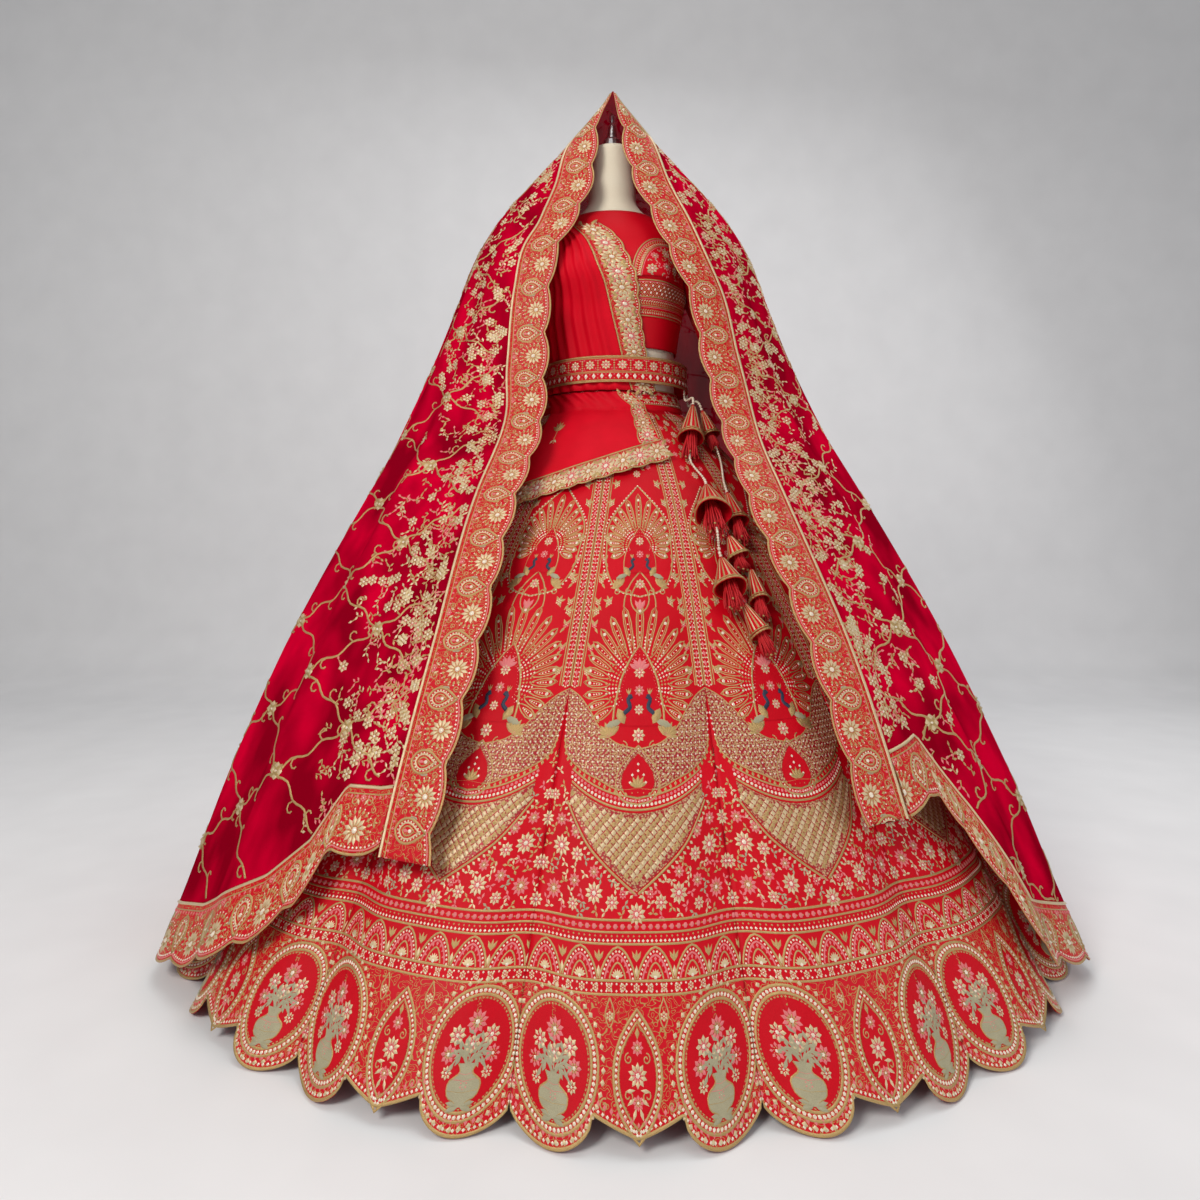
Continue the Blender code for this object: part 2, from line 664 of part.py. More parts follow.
def veil(turn, z):
    """A point on the veil's inner face; turn runs from the front over the viewer's left."""
    at = veil_section(z)
    depth = at["front"] if cos(turn) > 0 else at["back"]
    fall = min(max((1.50 - z) / 1.0, 0.0), 1.0)
    out = 0.0
    for centre, rise, wide in VEIL_FOLDS[1:]:
        out += rise * bell_curve(turn - radians(centre), radians(wide)) * fall
    return Vector((-(at["side"] + out) * sin(turn), at["centre"] - (depth + out) * cos(turn), z))


def veil_reach(turn, z, step=0.01):
    """Metres of cloth for one radian of turn."""
    return max((veil(turn + step, z) - veil(turn - step, z)).length / (2 * step), 0.004)


def veil_edges(z):
    """Turns of the two front edges and of the seams where their borders meet the net."""
    at = veil_section(z)
    left, right = radians(at["left_edge"]), tau - radians(at["right_edge"])
    left_seam = left + min(BORDER_WIDTH / veil_reach(left + 0.1, z), BORDER_MAX_TURN)
    right_seam = right - min(BORDER_WIDTH / veil_reach(right - 0.1, z), BORDER_MAX_TURN)
    return left, left_seam, right_seam, right


def veil_hem(turn):
    """The height of the veil's lower edge at one turn."""
    return float(np.interp(turn * 180 / pi, column(VEIL_HEM, "turn"), column(VEIL_HEM, "z")))


def make_veil():
    """The net cloak, its two front borders and the borders along its ends and back."""
    _, left_low, right_low, _ = veil_edges(VEIL_HEM_LEVEL)
    peak = Vector(VEIL_PEAK)
    shares = spread(0.0, 1.0, VEIL_STEPS + 1)
    hems = [veil_hem(left_low + (right_low - left_low) * share) for share in shares]
    net_rows = []
    left_rows = []
    right_rows = []
    for fall in reversed(VEIL_ROWS):
        row = []
        for share, hem in zip(shares, hems):
            z = peak.z + (hem + BORDER_WIDTH + HALF_GAP - peak.z) * fall
            _, left_seam, right_seam, _ = veil_edges(z)
            inset = HALF_GAP / veil_reach(left_seam, z)
            turn = left_seam + inset + (right_seam - left_seam - 2 * inset) * share
            row.append(veil(turn, z))
        net_rows.append(row)
        for side_rows, hem, which in ((left_rows, hems[0], 0), (right_rows, hems[-1], 3)):
            z = peak.z + (hem + BORDER_WIDTH + HALF_GAP - peak.z) * fall
            edges = veil_edges(z)
            seam = edges[1] if which == 0 else edges[2]
            sign = 1 if which == 0 else -1
            inset = HALF_GAP / veil_reach(seam, z) * sign
            side_rows.append((z, edges[which], seam - inset, sign))
    net_rows.append([peak] * (VEIL_STEPS + 1))
    cloth("veil_net", net_rows, VEIL_WALL, True, NET, made_of="net")
    for name, rows in (("veil_border_front_left", left_rows), ("veil_border_front_right", right_rows)):
        make_front_border(name, list(reversed(rows)))
    make_hem_borders(hems, shares)


def make_front_border(name, rows):
    """One scalloped border down the veil's front edge, sewn to the straight chords of the net."""
    last_z = rows[-1][0] - BORDER_WIDTH
    rows = [*rows, (last_z, *rows[-1][1:])]
    strip = []
    for upper, lower in zip(rows[:-1], rows[1:]):
        for cut in range(BORDER_SPLIT):
            share = cut / BORDER_SPLIT
            strip.append((upper, lower, share))
    strip.append((rows[-2], rows[-1], 1.0))
    points = []
    for i, (upper, lower, share) in enumerate(strip):
        seam = veil(upper[2], upper[0]).lerp(veil(lower[2], lower[0]), share)
        z = upper[0] + (lower[0] - upper[0]) * share
        edge_turn = upper[1] + (lower[1] - upper[1]) * share
        scallop = SCALLOP * (1 if i % 2 else -0.3) / veil_reach(edge_turn, z)
        edge = veil(edge_turn - upper[3] * scallop, z)
        middle_turn = (edge_turn + upper[2] + (lower[2] - upper[2]) * share) / 2
        middle = veil(middle_turn, z)
        points.append([edge, middle, seam] if upper[3] > 0 else [seam, middle, edge])
    points.reverse()
    cloth(name, points, VEIL_WALL, True, EMBROIDERED, made_of="scalloped border")


def make_hem_borders(hems, shares):
    """The border strips along the veil's two ends and its back edge."""
    parts = (
        ("veil_border_end_left", 0, END_STEPS),
        ("veil_border_back", END_STEPS, VEIL_STEPS - END_STEPS),
        ("veil_border_end_right", VEIL_STEPS - END_STEPS, VEIL_STEPS),
    )
    for name, first, last in parts:
        rows = []
        for low in (0.0, 1.0):
            row = []
            for j in range(first, last + 1):
                z_seam = hems[j] + BORDER_WIDTH - HALF_GAP
                z = z_seam
                if low:
                    z = max(hems[j] + (SCALLOP if j % 2 else 0.0), 0.003)
                _, left_seam, right_seam, _ = veil_edges(z_seam)
                inset = HALF_GAP / veil_reach(left_seam, z_seam)
                turn = left_seam + inset + (right_seam - left_seam - 2 * inset) * shares[j]
                nudge = inset if j == first and first else -inset if j == last and last < VEIL_STEPS else 0.0
                row.append(veil(turn + nudge, z))
            rows.append(row)
        rows.reverse()
        cloth(name, rows, VEIL_WALL, True, EMBROIDERED, made_of="scalloped border")


def smooth_route(points, count):
    """Even points along a smooth curve through the given ones."""
    places = np.array(points, float)
    run = np.concatenate(([0], np.cumsum(np.linalg.norm(np.diff(places, axis=0), axis=1))))
    slopes = np.gradient(places, run, axis=0)
    route = []
    for at in np.linspace(0, run[-1], count):
        i = min(int(np.searchsorted(run, at, side="right")) - 1, len(run) - 2)
        span = run[i + 1] - run[i]
        s = (at - run[i]) / span
        route.append(
            (2 * s**3 - 3 * s**2 + 1) * places[i] + (s**3 - 2 * s**2 + s) * span * slopes[i]
            + (3 * s**2 - 2 * s**3) * places[i + 1] + (s**3 - s**2) * span * slopes[i + 1]
        )
    return route


def make_cord(name, start, start_way, end, end_way):
    """A free bead cord on a smooth route between two places, leaving and meeting them squarely."""
    ease = min(CORD_EASE, (end - start).length / 3)
    points = [start, start + start_way * ease, end - end_way * ease, end]
    length = sum((b - a).length for a, b in zip(points[:-1], points[1:]))
    route = smooth_route(points, max(5, int(length / CORD_STEP)))
    curve = bpy.data.curves.new(name, "CURVE")
    curve.dimensions = "3D"
    curve.bevel_depth = CORD_RADIUS
    curve.bevel_resolution = 2
    curve.use_fill_caps = True
    line = curve.splines.new("POLY")
    line.points.add(len(route) - 1)
    for point, place in zip(line.points, route):
        point.co = (*place, 1.0)
    obj = bpy.data.objects.new(name, curve)
    outfit.objects.link(obj)
    curve.materials.append(BEADS)


def bell_width(radius, share):
    """The bell's outer radius at a share of its length from the tip."""
    return BELL_TIP + (radius - BELL_TIP) * share


def make_bell(index, apex, mouth, radius, ties):
    """A cloth cone open below, with the thread tassel that hangs in it."""
    along = (mouth - apex).normalized()
    across = along.orthogonal().normalized()
    other = along.cross(across)
    length = (mouth - apex).length
    rows = []
    for share in (0.0, 1.0):
        wide = bell_width(radius, share)
        at = apex + along * length * share
        rows.append([
            at + (across * cos(tau * j / BELL_STEPS) - other * sin(tau * j / BELL_STEPS)) * wide
            for j in range(BELL_STEPS)
        ])
    cloth(f"latkan_bell_{index}", rows, BELL_WALL, False, EMBROIDERED, ring=True, made_of="cloth cone")
    pad = (bell_width(radius, TASSEL_SEAT - TASSEL_PAD) - BELL_WALL - 0.0009) / 2**0.5
    make_tassel(index, apex + along * length * TASSEL_SEAT, (other, across, -along), length, pad, ties)


def make_tassel(index, top, axes, length, pad, ties):
    """A tassel: a square pad of cells whose lower faces are drawn out into strands.

    Each tie is a place and direction at which one strand ends, for what hangs on it.
    """
    shape = bmesh.new()
    bmesh.ops.create_grid(shape, x_segments=TASSEL_ROWS, y_segments=TASSEL_ROWS, size=pad)
    cells = list(shape.faces)
    top_side = bmesh.ops.extrude_face_region(shape, geom=cells)
    for vert in [v for v in top_side["geom"] if isinstance(v, bmesh.types.BMVert)]:
        vert.co.z += length * TASSEL_PAD
    cells = [face for face in shape.faces if max(v.co.z for v in face.verts) < length * 0.01]
    bmesh.ops.inset_individual(shape, faces=cells, thickness=pad * 0.10)
    drawn = bmesh.ops.extrude_discrete_faces(shape, faces=cells)["faces"]
    for n, face in enumerate(drawn):
        centre = face.calc_center_median()
        reach = length * (0.82 + 0.07 * ((n * 5) % 4))
        for vert in face.verts:
            vert.co = centre * 1.45 + (vert.co - centre) * 0.8
            vert.co.z = -reach
    free = list(drawn)
    for place, way in ties:
        local = Vector([(place - top).dot(axis) for axis in axes])
        side = Vector((local.x, local.y, 0)) if Vector((local.x, local.y)).length > pad else Vector()
        aim = side.normalized() * pad
        face = min(free, key=lambda f: (f.calc_center_median().to_2d() - aim.to_2d()).length)
        free.remove(face)
        way_local = Vector([way.dot(axis) for axis in axes])
        turn = Vector((0, 0, -1)).rotation_difference(way_local)
        centre = face.calc_center_median()
        for vert in face.verts:
            flat = Vector((vert.co.x - centre.x, vert.co.y - centre.y, 0))
            vert.co = local + turn @ (flat.normalized() * STRAND_HALF * 2**0.5)
    bmesh.ops.recalc_face_normals(shape, faces=shape.faces)
    for vert in shape.verts:
        x, y, z = vert.co
        vert.co = top + axes[0] * x + axes[1] * y + axes[2] * z
    mesh = bpy.data.meshes.new(f"latkan_tassel_{index}")
    shape.to_mesh(mesh)
    shape.free()
    obj = bpy.data.objects.new(f"latkan_tassel_{index}", mesh)
    outfit.objects.link(obj)
    mesh.materials.append(THREAD)


def make_latkans():
    """The hanging ornaments at the waist's viewer right, on cords from the belt."""
    bells = {}
    names = LATKANS[0]
    for index, values in enumerate(LATKANS[1:], start=1):
        row = dict(zip(names, values))
        apex = skirt_front(row["x"], row["z"], row["stand"])
        mouth = skirt_front(row["to_x"], row["to_z"], row["to_stand"])
        bells[index] = (apex, mouth, row["radius"])
    ties = {index: [] for index in bells}
    down = Vector((0, 0, -1))
    for bell, belt_turn in BELT_CORDS[1:]:
        apex, mouth, _ = bells[bell]
        way = (mouth - apex).normalized()
        start = belt(radians(belt_turn), 1.0, BELT_WALL / 2) + down * GAP
        make_cord(f"latkan_cord_{bell}", start, down, apex - way * GAP, way)
    for bell, above in BELL_CORDS[1:]:
        apex, mouth, _ = bells[bell]
        way = (mouth - apex).normalized()
        above_apex, above_mouth, _ = bells[above]
        start_way = (above_mouth - above_apex).normalized()
        start = above_apex + (above_mouth - above_apex) * TASSEL_REACH
        ties[above].append((start, start_way))
        make_cord(f"latkan_cord_{bell}", start + start_way * GAP, start_way, apex - way * GAP, way)
    for bell, above in STRAND_TIES[1:]:
        apex, mouth, _ = bells[bell]
        way = (mouth - apex).normalized()
        ties[above].append((apex - way * GAP, way))
    for index, (apex, mouth, radius) in bells.items():
        make_bell(index, apex, mouth, radius, ties[index])


make_form()
make_skirt()
make_waistband()
make_belt()
make_choli()
make_drape()
make_veil()
make_latkans()
for obj in outfit.objects:
    if obj.type == "MESH":
        obj.data.shade_smooth()
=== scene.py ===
from math import cos, pi, radians, sin, tau

import bpy
import numpy as np
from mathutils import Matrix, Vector


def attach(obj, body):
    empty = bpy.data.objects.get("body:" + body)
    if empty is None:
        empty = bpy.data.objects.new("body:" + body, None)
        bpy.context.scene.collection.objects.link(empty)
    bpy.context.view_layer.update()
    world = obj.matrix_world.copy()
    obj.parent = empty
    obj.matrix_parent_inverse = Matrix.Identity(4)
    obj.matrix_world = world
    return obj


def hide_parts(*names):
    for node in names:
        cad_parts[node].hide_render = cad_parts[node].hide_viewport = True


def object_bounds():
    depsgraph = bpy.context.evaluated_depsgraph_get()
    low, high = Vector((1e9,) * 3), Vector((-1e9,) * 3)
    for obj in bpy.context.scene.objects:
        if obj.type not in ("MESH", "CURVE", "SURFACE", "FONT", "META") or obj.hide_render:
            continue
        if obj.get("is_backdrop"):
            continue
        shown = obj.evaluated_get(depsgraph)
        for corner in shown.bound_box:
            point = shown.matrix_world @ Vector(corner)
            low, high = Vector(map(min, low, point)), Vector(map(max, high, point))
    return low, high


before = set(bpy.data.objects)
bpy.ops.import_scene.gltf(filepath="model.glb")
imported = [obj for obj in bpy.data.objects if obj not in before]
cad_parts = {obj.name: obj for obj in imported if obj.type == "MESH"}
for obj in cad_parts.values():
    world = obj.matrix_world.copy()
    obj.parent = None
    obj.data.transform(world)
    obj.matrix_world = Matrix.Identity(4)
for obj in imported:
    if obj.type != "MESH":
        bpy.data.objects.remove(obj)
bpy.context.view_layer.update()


# The camera stands level in front of the outfit, a little to its left, and the room is a pale
# floor that rises into a pale wall, under soft studio lamps.
camera_data = bpy.data.cameras.new("camera")
camera_data.lens = 25.5
camera_data.sensor_width = 36
camera_data.shift_x = 0.0158
camera_data.shift_y = -0.05
camera = bpy.data.objects.new("camera", camera_data)
camera.location = (-0.066, -1.61, 0.70)
camera.rotation_euler = (pi / 2, 0, 0)
bpy.context.scene.collection.objects.link(camera)
bpy.context.scene.camera = camera
bpy.context.scene.view_settings.view_transform = "Standard"


class Socket:
    """A node's output, so that plain sums on it add the Math nodes that they stand for."""

    def __init__(self, paint, socket):
        self.paint, self.socket = paint, socket

    def maths(self, operation, *values):
        return self.paint.node("ShaderNodeMath", {"operation": operation}, *values)

    def __add__(self, other):
        return self.maths("ADD", self, other)

    def __radd__(self, other):
        return self.maths("ADD", other, self)

    def __sub__(self, other):
        return self.maths("SUBTRACT", self, other)

    def __rsub__(self, other):
        return self.maths("SUBTRACT", other, self)

    def __mul__(self, other):
        return self.maths("MULTIPLY", self, other)

    def __rmul__(self, other):
        return self.maths("MULTIPLY", other, self)

    def __lt__(self, other):
        return self.maths("LESS_THAN", self, other)

    def __abs__(self):
        return self.maths("ABSOLUTE", self)


class Paint:
    """One material's node tree."""

    def __init__(self, name, **plain):
        self.material = bpy.data.materials.new(name)
        self.material.use_nodes = True
        self.tree = self.material.node_tree
        self.shader = self.tree.nodes["Principled BSDF"]
        self.set(**plain)

    def set(self, **values):
        """Sets or links the shader's sockets, named with underscores."""
        for key, value in values.items():
            self.put(self.shader.inputs[key.replace("_", " ").title().replace("Ior", "IOR")], value)

    def put(self, socket, value):
        if isinstance(value, Socket):
            self.tree.links.new(value.socket, socket)
        elif isinstance(value, (tuple, list)) and len(value) == 3 and socket.type == "RGBA":
            socket.default_value = (*value, 1.0)
        else:
            socket.default_value = value

    def node(self, kind, settings=None, *values, out=0, **named):
        """Adds a node: its settings first, then its sockets' values or links; None leaves one be."""
        made = self.tree.nodes.new(kind)
        for key, value in (settings or {}).items():
            setattr(made, key, value)
        for i, value in enumerate(values):
            if value is not None:
                self.put(made.inputs[i], value)
        for key, value in named.items():
            self.put(made.inputs[key.replace("_", " ").title()], value)
        return Socket(self, made.outputs[out])

    def spot(self):
        """Where a place of the surface lies on its piece, in metres."""
        return self.node("ShaderNodeTexCoord", out=3)

    def noise(self, scale, detail=2.0, at=None):
        """Soft uneven patches between 0 and 1, about so many to a metre."""
        return self.node("ShaderNodeTexNoise", {"noise_dimensions": "3D"}, Vector=at or self.spot(),
                         Scale=scale, Detail=detail)

    def blend(self, share, one, two):
        """A colour between two others."""
        numbers_and_vectors = [None] * 5
        return self.node("ShaderNodeMix", {"data_type": "RGBA"}, share, *numbers_and_vectors, one, two, out=2)

    def bump(self, height, distance, strength=1.0):
        """A surface raised by a height, for the shader's normal."""
        return self.node("ShaderNodeBump", None, Strength=strength, Distance=distance, Height=height)


FLOOR_HALF, FLOOR_SINK = 5.0, 0.0006
floor_paint = Paint("studio_floor", roughness=0.85)
floor_mottle = floor_paint.noise(6.0)
floor_paint.set(base_color=floor_paint.blend(floor_mottle, (0.72, 0.72, 0.73), (0.80, 0.80, 0.81)))
floor_profile = [(-3.2, 0.0), (2.1, 0.0), (2.45, 0.06), (2.62, 0.25), (2.66, 0.6), (2.66, 4.2)]
floor_mesh = bpy.data.meshes.new("studio_floor")
floor_mesh.from_pydata(
    [(side * FLOOR_HALF, y, z - FLOOR_SINK) for y, z in floor_profile for side in (-1, 1)], [],
    [(2 * i, 2 * i + 1, 2 * i + 3, 2 * i + 2) for i in range(len(floor_profile) - 1)],
)
floor_mesh.materials.append(floor_paint.material)
floor_mesh.shade_smooth()
floor = bpy.data.objects.new("studio_floor", floor_mesh)
bpy.context.scene.collection.objects.link(floor)
floor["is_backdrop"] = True


def lamp(name, place, aim, size, power, colour=(1.0, 1.0, 1.0)):
    """A large soft lamp that looks at a point."""
    data = bpy.data.lights.new(name, "AREA")
    data.size = size
    data.energy = power
    data.color = colour
    made = bpy.data.objects.new(name, data)
    made.location = place
    made.rotation_euler = (Vector(aim) - Vector(place)).to_track_quat("-Z", "Y").to_euler()
    bpy.context.scene.collection.objects.link(made)


lamp("key_lamp", (-1.7, -2.6, 2.7), (0, -0.1, 0.7), 1.2, 80, (1.0, 0.97, 0.92))
lamp("fill_lamp", (2.3, -2.2, 1.3), (0, 0, 0.6), 2.0, 20)
lamp("top_lamp", (0.2, 0.5, 3.4), (0, 0.1, 0.8), 2.2, 34)
lamp("rim_lamp", (2.6, 1.0, 2.2), (0, 0.2, 0.8), 1.4, 14)
room = bpy.data.worlds.new("room")
room.use_nodes = True
room.node_tree.nodes["Background"].inputs[0].default_value = (0.92, 0.93, 0.95, 1.0)
room.node_tree.nodes["Background"].inputs[1].default_value = 0.34
bpy.context.scene.world = room


# The dress form: linen stretched over padding, without limbs, with a turned steel cap and
# finial on its neck, on a steel pole that stands in a round floor plate.
AXIS_Y = 0.19
FORM_SECTIONS = (
    ("z", "side", "front", "back"),
    (0.900, 0.158, 0.112, 0.116),
    (0.950, 0.144, 0.104, 0.108),
    (1.003, 0.132, 0.097, 0.096),
    (1.050, 0.128, 0.094, 0.090),
    (1.087, 0.131, 0.096, 0.090),
    (1.147, 0.140, 0.103, 0.095),
    (1.182, 0.147, 0.106, 0.099),
    (1.217, 0.153, 0.107, 0.102),
    (1.234, 0.156, 0.106, 0.103),
    (1.250, 0.158, 0.105, 0.104),
    (1.282, 0.160, 0.100, 0.104),
    (1.312, 0.158, 0.092, 0.099),
    (1.326, 0.1515, 0.0868, 0.0938),
    (1.338, 0.142, 0.081, 0.088),
    (1.358, 0.112, 0.069, 0.075),
    (1.374, 0.082, 0.059, 0.064),
    (1.395, 0.058, 0.051, 0.054),
    (1.440, 0.049, 0.047, 0.048),
    (1.520, 0.045, 0.044, 0.045),
)
BUST_ANGLE, BUST_SPREAD = radians(28), radians(20)
BUST_Z, BUST_RISE, BUST_HEIGHT = 1.234, 0.024, 0.040
CHOLI_HEM, NECK_Z = 1.087, 1.374
FORM_EASE = 0.0022


def column(table, name):
    """One named column of a table whose first row holds the names."""
    place = table[0].index(name)
    return np.array([row[place] for row in table[1:]], float)


def smooth(table, key, name, at):
    """A smooth curve through a table's rows, read at values of its key column."""
    keys, values = column(table, key), column(table, name)
    if keys[0] > keys[-1]:
        keys, values = keys[::-1], values[::-1]
    at = np.clip(at, keys[0], keys[-1])
    slopes = np.gradient(values, keys)
    i = np.clip(np.searchsorted(keys, at, side="right") - 1, 0, len(keys) - 2)
    span = keys[i + 1] - keys[i]
    s = (at - keys[i]) / span
    return ((2 * s**3 - 3 * s**2 + 1) * values[i] + (s**3 - 2 * s**2 + s) * span * slopes[i]
            + (3 * s**2 - 2 * s**3) * values[i + 1] + (s**3 - s**2) * span * slopes[i + 1])


def hump(x, spread):
    """A soft bump of height 1 and the given half width."""
    return np.exp(-((x / spread) ** 2))


def turn_from(a, b):
    """The signed turn from b to a."""
    return (a - b + pi) % tau - pi


def body(turn, z, off=0.0):
    """Places on the dress form, moved out by off in the level plane."""
    side = smooth(FORM_SECTIONS, "z", "side", z)
    front, back = smooth(FORM_SECTIONS, "z", "front", z), smooth(FORM_SECTIONS, "z", "back", z)
    depth = np.where(np.cos(turn) > 0, front, back)
    bust = sum(hump(turn_from(turn, s * BUST_ANGLE), BUST_SPREAD) for s in (-1, 1))
    out = off + BUST_RISE * bust * hump(z - BUST_Z, BUST_HEIGHT)
    return np.stack([(side + out) * np.sin(turn), AXIS_Y - (depth + out) * np.cos(turn), z + 0 * turn],
                    axis=-1)


def piece(name, places, faces, paints, nodes=(), paint_of=None, wall=0.0):
    """One finished piece from corners and faces, riding on the stand."""
    mesh = bpy.data.meshes.new(name)
    mesh.from_pydata(np.asarray(places, float).reshape(-1, 3).tolist(), [], [tuple(f) for f in faces])
    for paint in paints if isinstance(paints, (list, tuple)) else [paints]:
        mesh.materials.append(paint.material)
    if paint_of is not None:
        mesh.polygons.foreach_set("material_index", np.asarray(paint_of, np.int32))
    mesh.shade_smooth()
    made = bpy.data.objects.new(name, mesh)
    bpy.context.scene.collection.objects.link(made)
    if wall:
        thick = made.modifiers.new("wall", "SOLIDIFY")
        thick.thickness = wall
        thick.offset = -1
    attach(made, "root")
    if nodes:
        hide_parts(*nodes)
    return made


def net_faces(rows, wide, ring=False, flip=False):
    """Faces of a grid of corners in rows that run top to bottom and left to right from outside."""
    i, j = np.meshgrid(np.arange(rows - 1), np.arange(wide if ring else wide - 1), indexing="ij")
    i, j = i.ravel(), j.ravel()
    k = (j + 1) % wide
    faces = np.stack([i * wide + j, (i + 1) * wide + j, (i + 1) * wide + k, i * wide + k], axis=1)
    return faces[:, ::-1] if flip else faces


FORM_WIDE, FORM_TALL, FORM_TOP, FORM_FOOT = 96, 90, 1.520, 0.900
STEEL_EDGE = radians(40)
linen = Paint("form_linen", roughness=0.85, sheen_weight=0.15)
linen_thread = linen.noise(900.0, 1.0)
linen_cloud = linen.noise(14.0)
linen.set(
    base_color=linen.blend(linen_cloud * 0.5 + linen_thread * 0.5, (0.66, 0.57, 0.42), (0.82, 0.75, 0.60)),
    normal=linen.bump(linen_thread, 0.0004, 0.6),
)
form_turns = -tau * np.arange(FORM_WIDE) / FORM_WIDE
form_rows = [body(form_turns, np.full(FORM_WIDE, z), -FORM_EASE if CHOLI_HEM < z < NECK_Z else 0.0)
             for z in np.linspace(FORM_TOP, FORM_FOOT, FORM_TALL)]
form_places = np.concatenate([*form_rows, [[0, AXIS_Y, FORM_TOP], [0, AXIS_Y, FORM_FOOT]]])
top_middle, foot_middle, foot_row = FORM_TALL * FORM_WIDE, FORM_TALL * FORM_WIDE + 1, (FORM_TALL - 1) * FORM_WIDE
form_faces = [tuple(f) for f in net_faces(FORM_TALL, FORM_WIDE, ring=True, flip=True)]
form_faces += [(top_middle, (j + 1) % FORM_WIDE, j) for j in range(FORM_WIDE)]
form_faces += [(foot_middle, foot_row + j, foot_row + (j + 1) % FORM_WIDE) for j in range(FORM_WIDE)]
piece("form_cover", form_places, form_faces, linen, ["form_torso"])

steel = Paint("stand_steel", metallic=1.0)
steel_brush = steel.noise(120.0)
steel.set(base_color=steel.blend(steel_brush, (0.50, 0.50, 0.51), (0.70, 0.70, 0.71)),
          roughness=0.24 + steel_brush * 0.16)
for name in ("form_cap", "form_pole", "form_base"):
    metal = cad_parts[name].data
    metal.materials.clear()
    metal.materials.append(steel.material)
    metal.shade_smooth()
    metal.set_sharp_from_angle(angle=STEEL_EDGE)


# The skirt: fourteen flared panels cut from red satin, each with its own scalloped hem. They are
# sewn side to side, fall from the waist in an ellipse, and fold in at their seams.
SKIRT_TOP = 0.958
WAIST_SIDE, WAIST_DEPTH = 0.150, 0.113
HEM_SIDE, HEM_DEPTH = 0.777, 0.655
FLARE, FOLD_FADE = 0.8, 1.6
CREASE_DEPTH, CREASE_FADE = 0.0011, 0.7
TWIST, TWIST_Z = radians(7), 0.81
KALI_COUNT = 14
VALLEY_SPREAD = radians(4.2)
VALLEY_DEPTHS = (0.034, 0.022, 0.030, 0.024, 0.034, 0.026, 0.030,
                 0.034, 0.024, 0.030, 0.022, 0.036, 0.026, 0.030)


def seam_turns():
    """Angles that part the hem's ellipse into arcs of one length, from the front centre."""
    turns = np.linspace(0, tau, 2881)
    x, y = HEM_SIDE * np.sin(turns), HEM_DEPTH * np.cos(turns)
    run = np.concatenate(([0], np.cumsum(np.hypot(np.diff(x), np.diff(y)))))
    return [float(np.interp((k + 0.5) / KALI_COUNT, run / run[-1], turns)) for k in range(KALI_COUNT)]


SEAMS = seam_turns()


def skirt_axes(z):
    """The skirt's half widths to the side and front, its centre, and how far down a height is."""
    fall = np.clip((SKIRT_TOP - z) / SKIRT_TOP, 0.0, 1.0)
    flare = fall**FLARE
    side = WAIST_SIDE + (HEM_SIDE - WAIST_SIDE) * flare
    depth = WAIST_DEPTH + (HEM_DEPTH - WAIST_DEPTH) * flare
    return side, depth, AXIS_Y * (1 - fall), fall


def skirt(turn, z, off=0.0):
    """Places on the skirt's outer face, folded in at the seams."""
    side, depth, centre, fall = skirt_axes(z)
    folds = 0.0
    for seam, depth_in in zip(SEAMS, VALLEY_DEPTHS):
        folds = folds + depth_in * hump(turn_from(turn, seam), VALLEY_SPREAD)
    out = off - folds * fall**FOLD_FADE
    angle = turn + TWIST * (z / TWIST_Z) ** 2 * np.cos(turn / 2) ** 2
    return np.stack([(side + out) * np.sin(angle), centre - (depth + out) * np.cos(angle), z + 0 * turn],
                    axis=-1)


def skirt_face(turn, z, off=0.0):
    """Places on the satin: the skirt's face with soft uneven drag creases."""
    _, _, _, fall = skirt_axes(z)
    crease = (np.sin(turn * 23 + z * 9) * 0.5 + np.sin(turn * 41 - z * 14 + 1.3) * 0.3
              + np.sin(turn * 11 + z * 31) * 0.2)
    return skirt(turn, z, off + CREASE_DEPTH * crease * fall**CREASE_FADE)


KALI_WIDTH, KALI_LENGTH, KALI_AREA, SKIRT_WALL, SEAM_GAP = 0.322, 1.13, 0.235, 0.0014, 0.00015
HEM_CLEAR, HEM_NOTCH, POINT_TIP = 0.0016, 0.034, 0.016
KALI_WIDE, KALI_TALL = 36, 30


def hem_height(share):
    """The scalloped hem of one panel: a round lobe, a pointed one and a round one."""
    lobe = np.minimum((share * 3).astype(int), 2)
    x = np.clip((share * 3 - lobe) * 2 - 1, -1, 1)
    pointed = HEM_CLEAR + POINT_TIP + (HEM_NOTCH - POINT_TIP) * np.abs(x) ** 1.2
    return np.where(lobe == 1, pointed, HEM_CLEAR + HEM_NOTCH * (1 - (1 - x * x) ** 0.5))


def kali_turn(k, share, z):
    """The turn of a place on a panel, from its left seam at 0 to its right seam at 1."""
    left, right = SEAMS[k - 1], SEAMS[k]
    if left > right:
        left -= tau
    side, _, _, _ = skirt_axes(z)
    inset = SEAM_GAP / side
    return left + inset + (right - left - 2 * inset) * share


def kali_half(z):
    """Half of a panel's width at a height."""
    flare = (np.clip(SKIRT_TOP - np.asarray(z, float), 0.0, None) / SKIRT_TOP) ** FLARE
    return KALI_WIDTH / 2 * (WAIST_SIDE + (HEM_SIDE - WAIST_SIDE) * flare) / HEM_SIDE


satin = Paint("red_satin", specular_ior_level=0.14)
satin_cloud = satin.noise(9.0)
satin_weave = satin.noise(1400.0, 1.0)
satin.set(
    base_color=satin.blend(satin_cloud, (0.44, 0.0, 0.005), (0.66, 0.0, 0.012)),
    roughness=0.42 + satin_weave * 0.16, normal=satin.bump(satin_weave + satin_cloud * 3.0, 0.0006, 0.5),
)


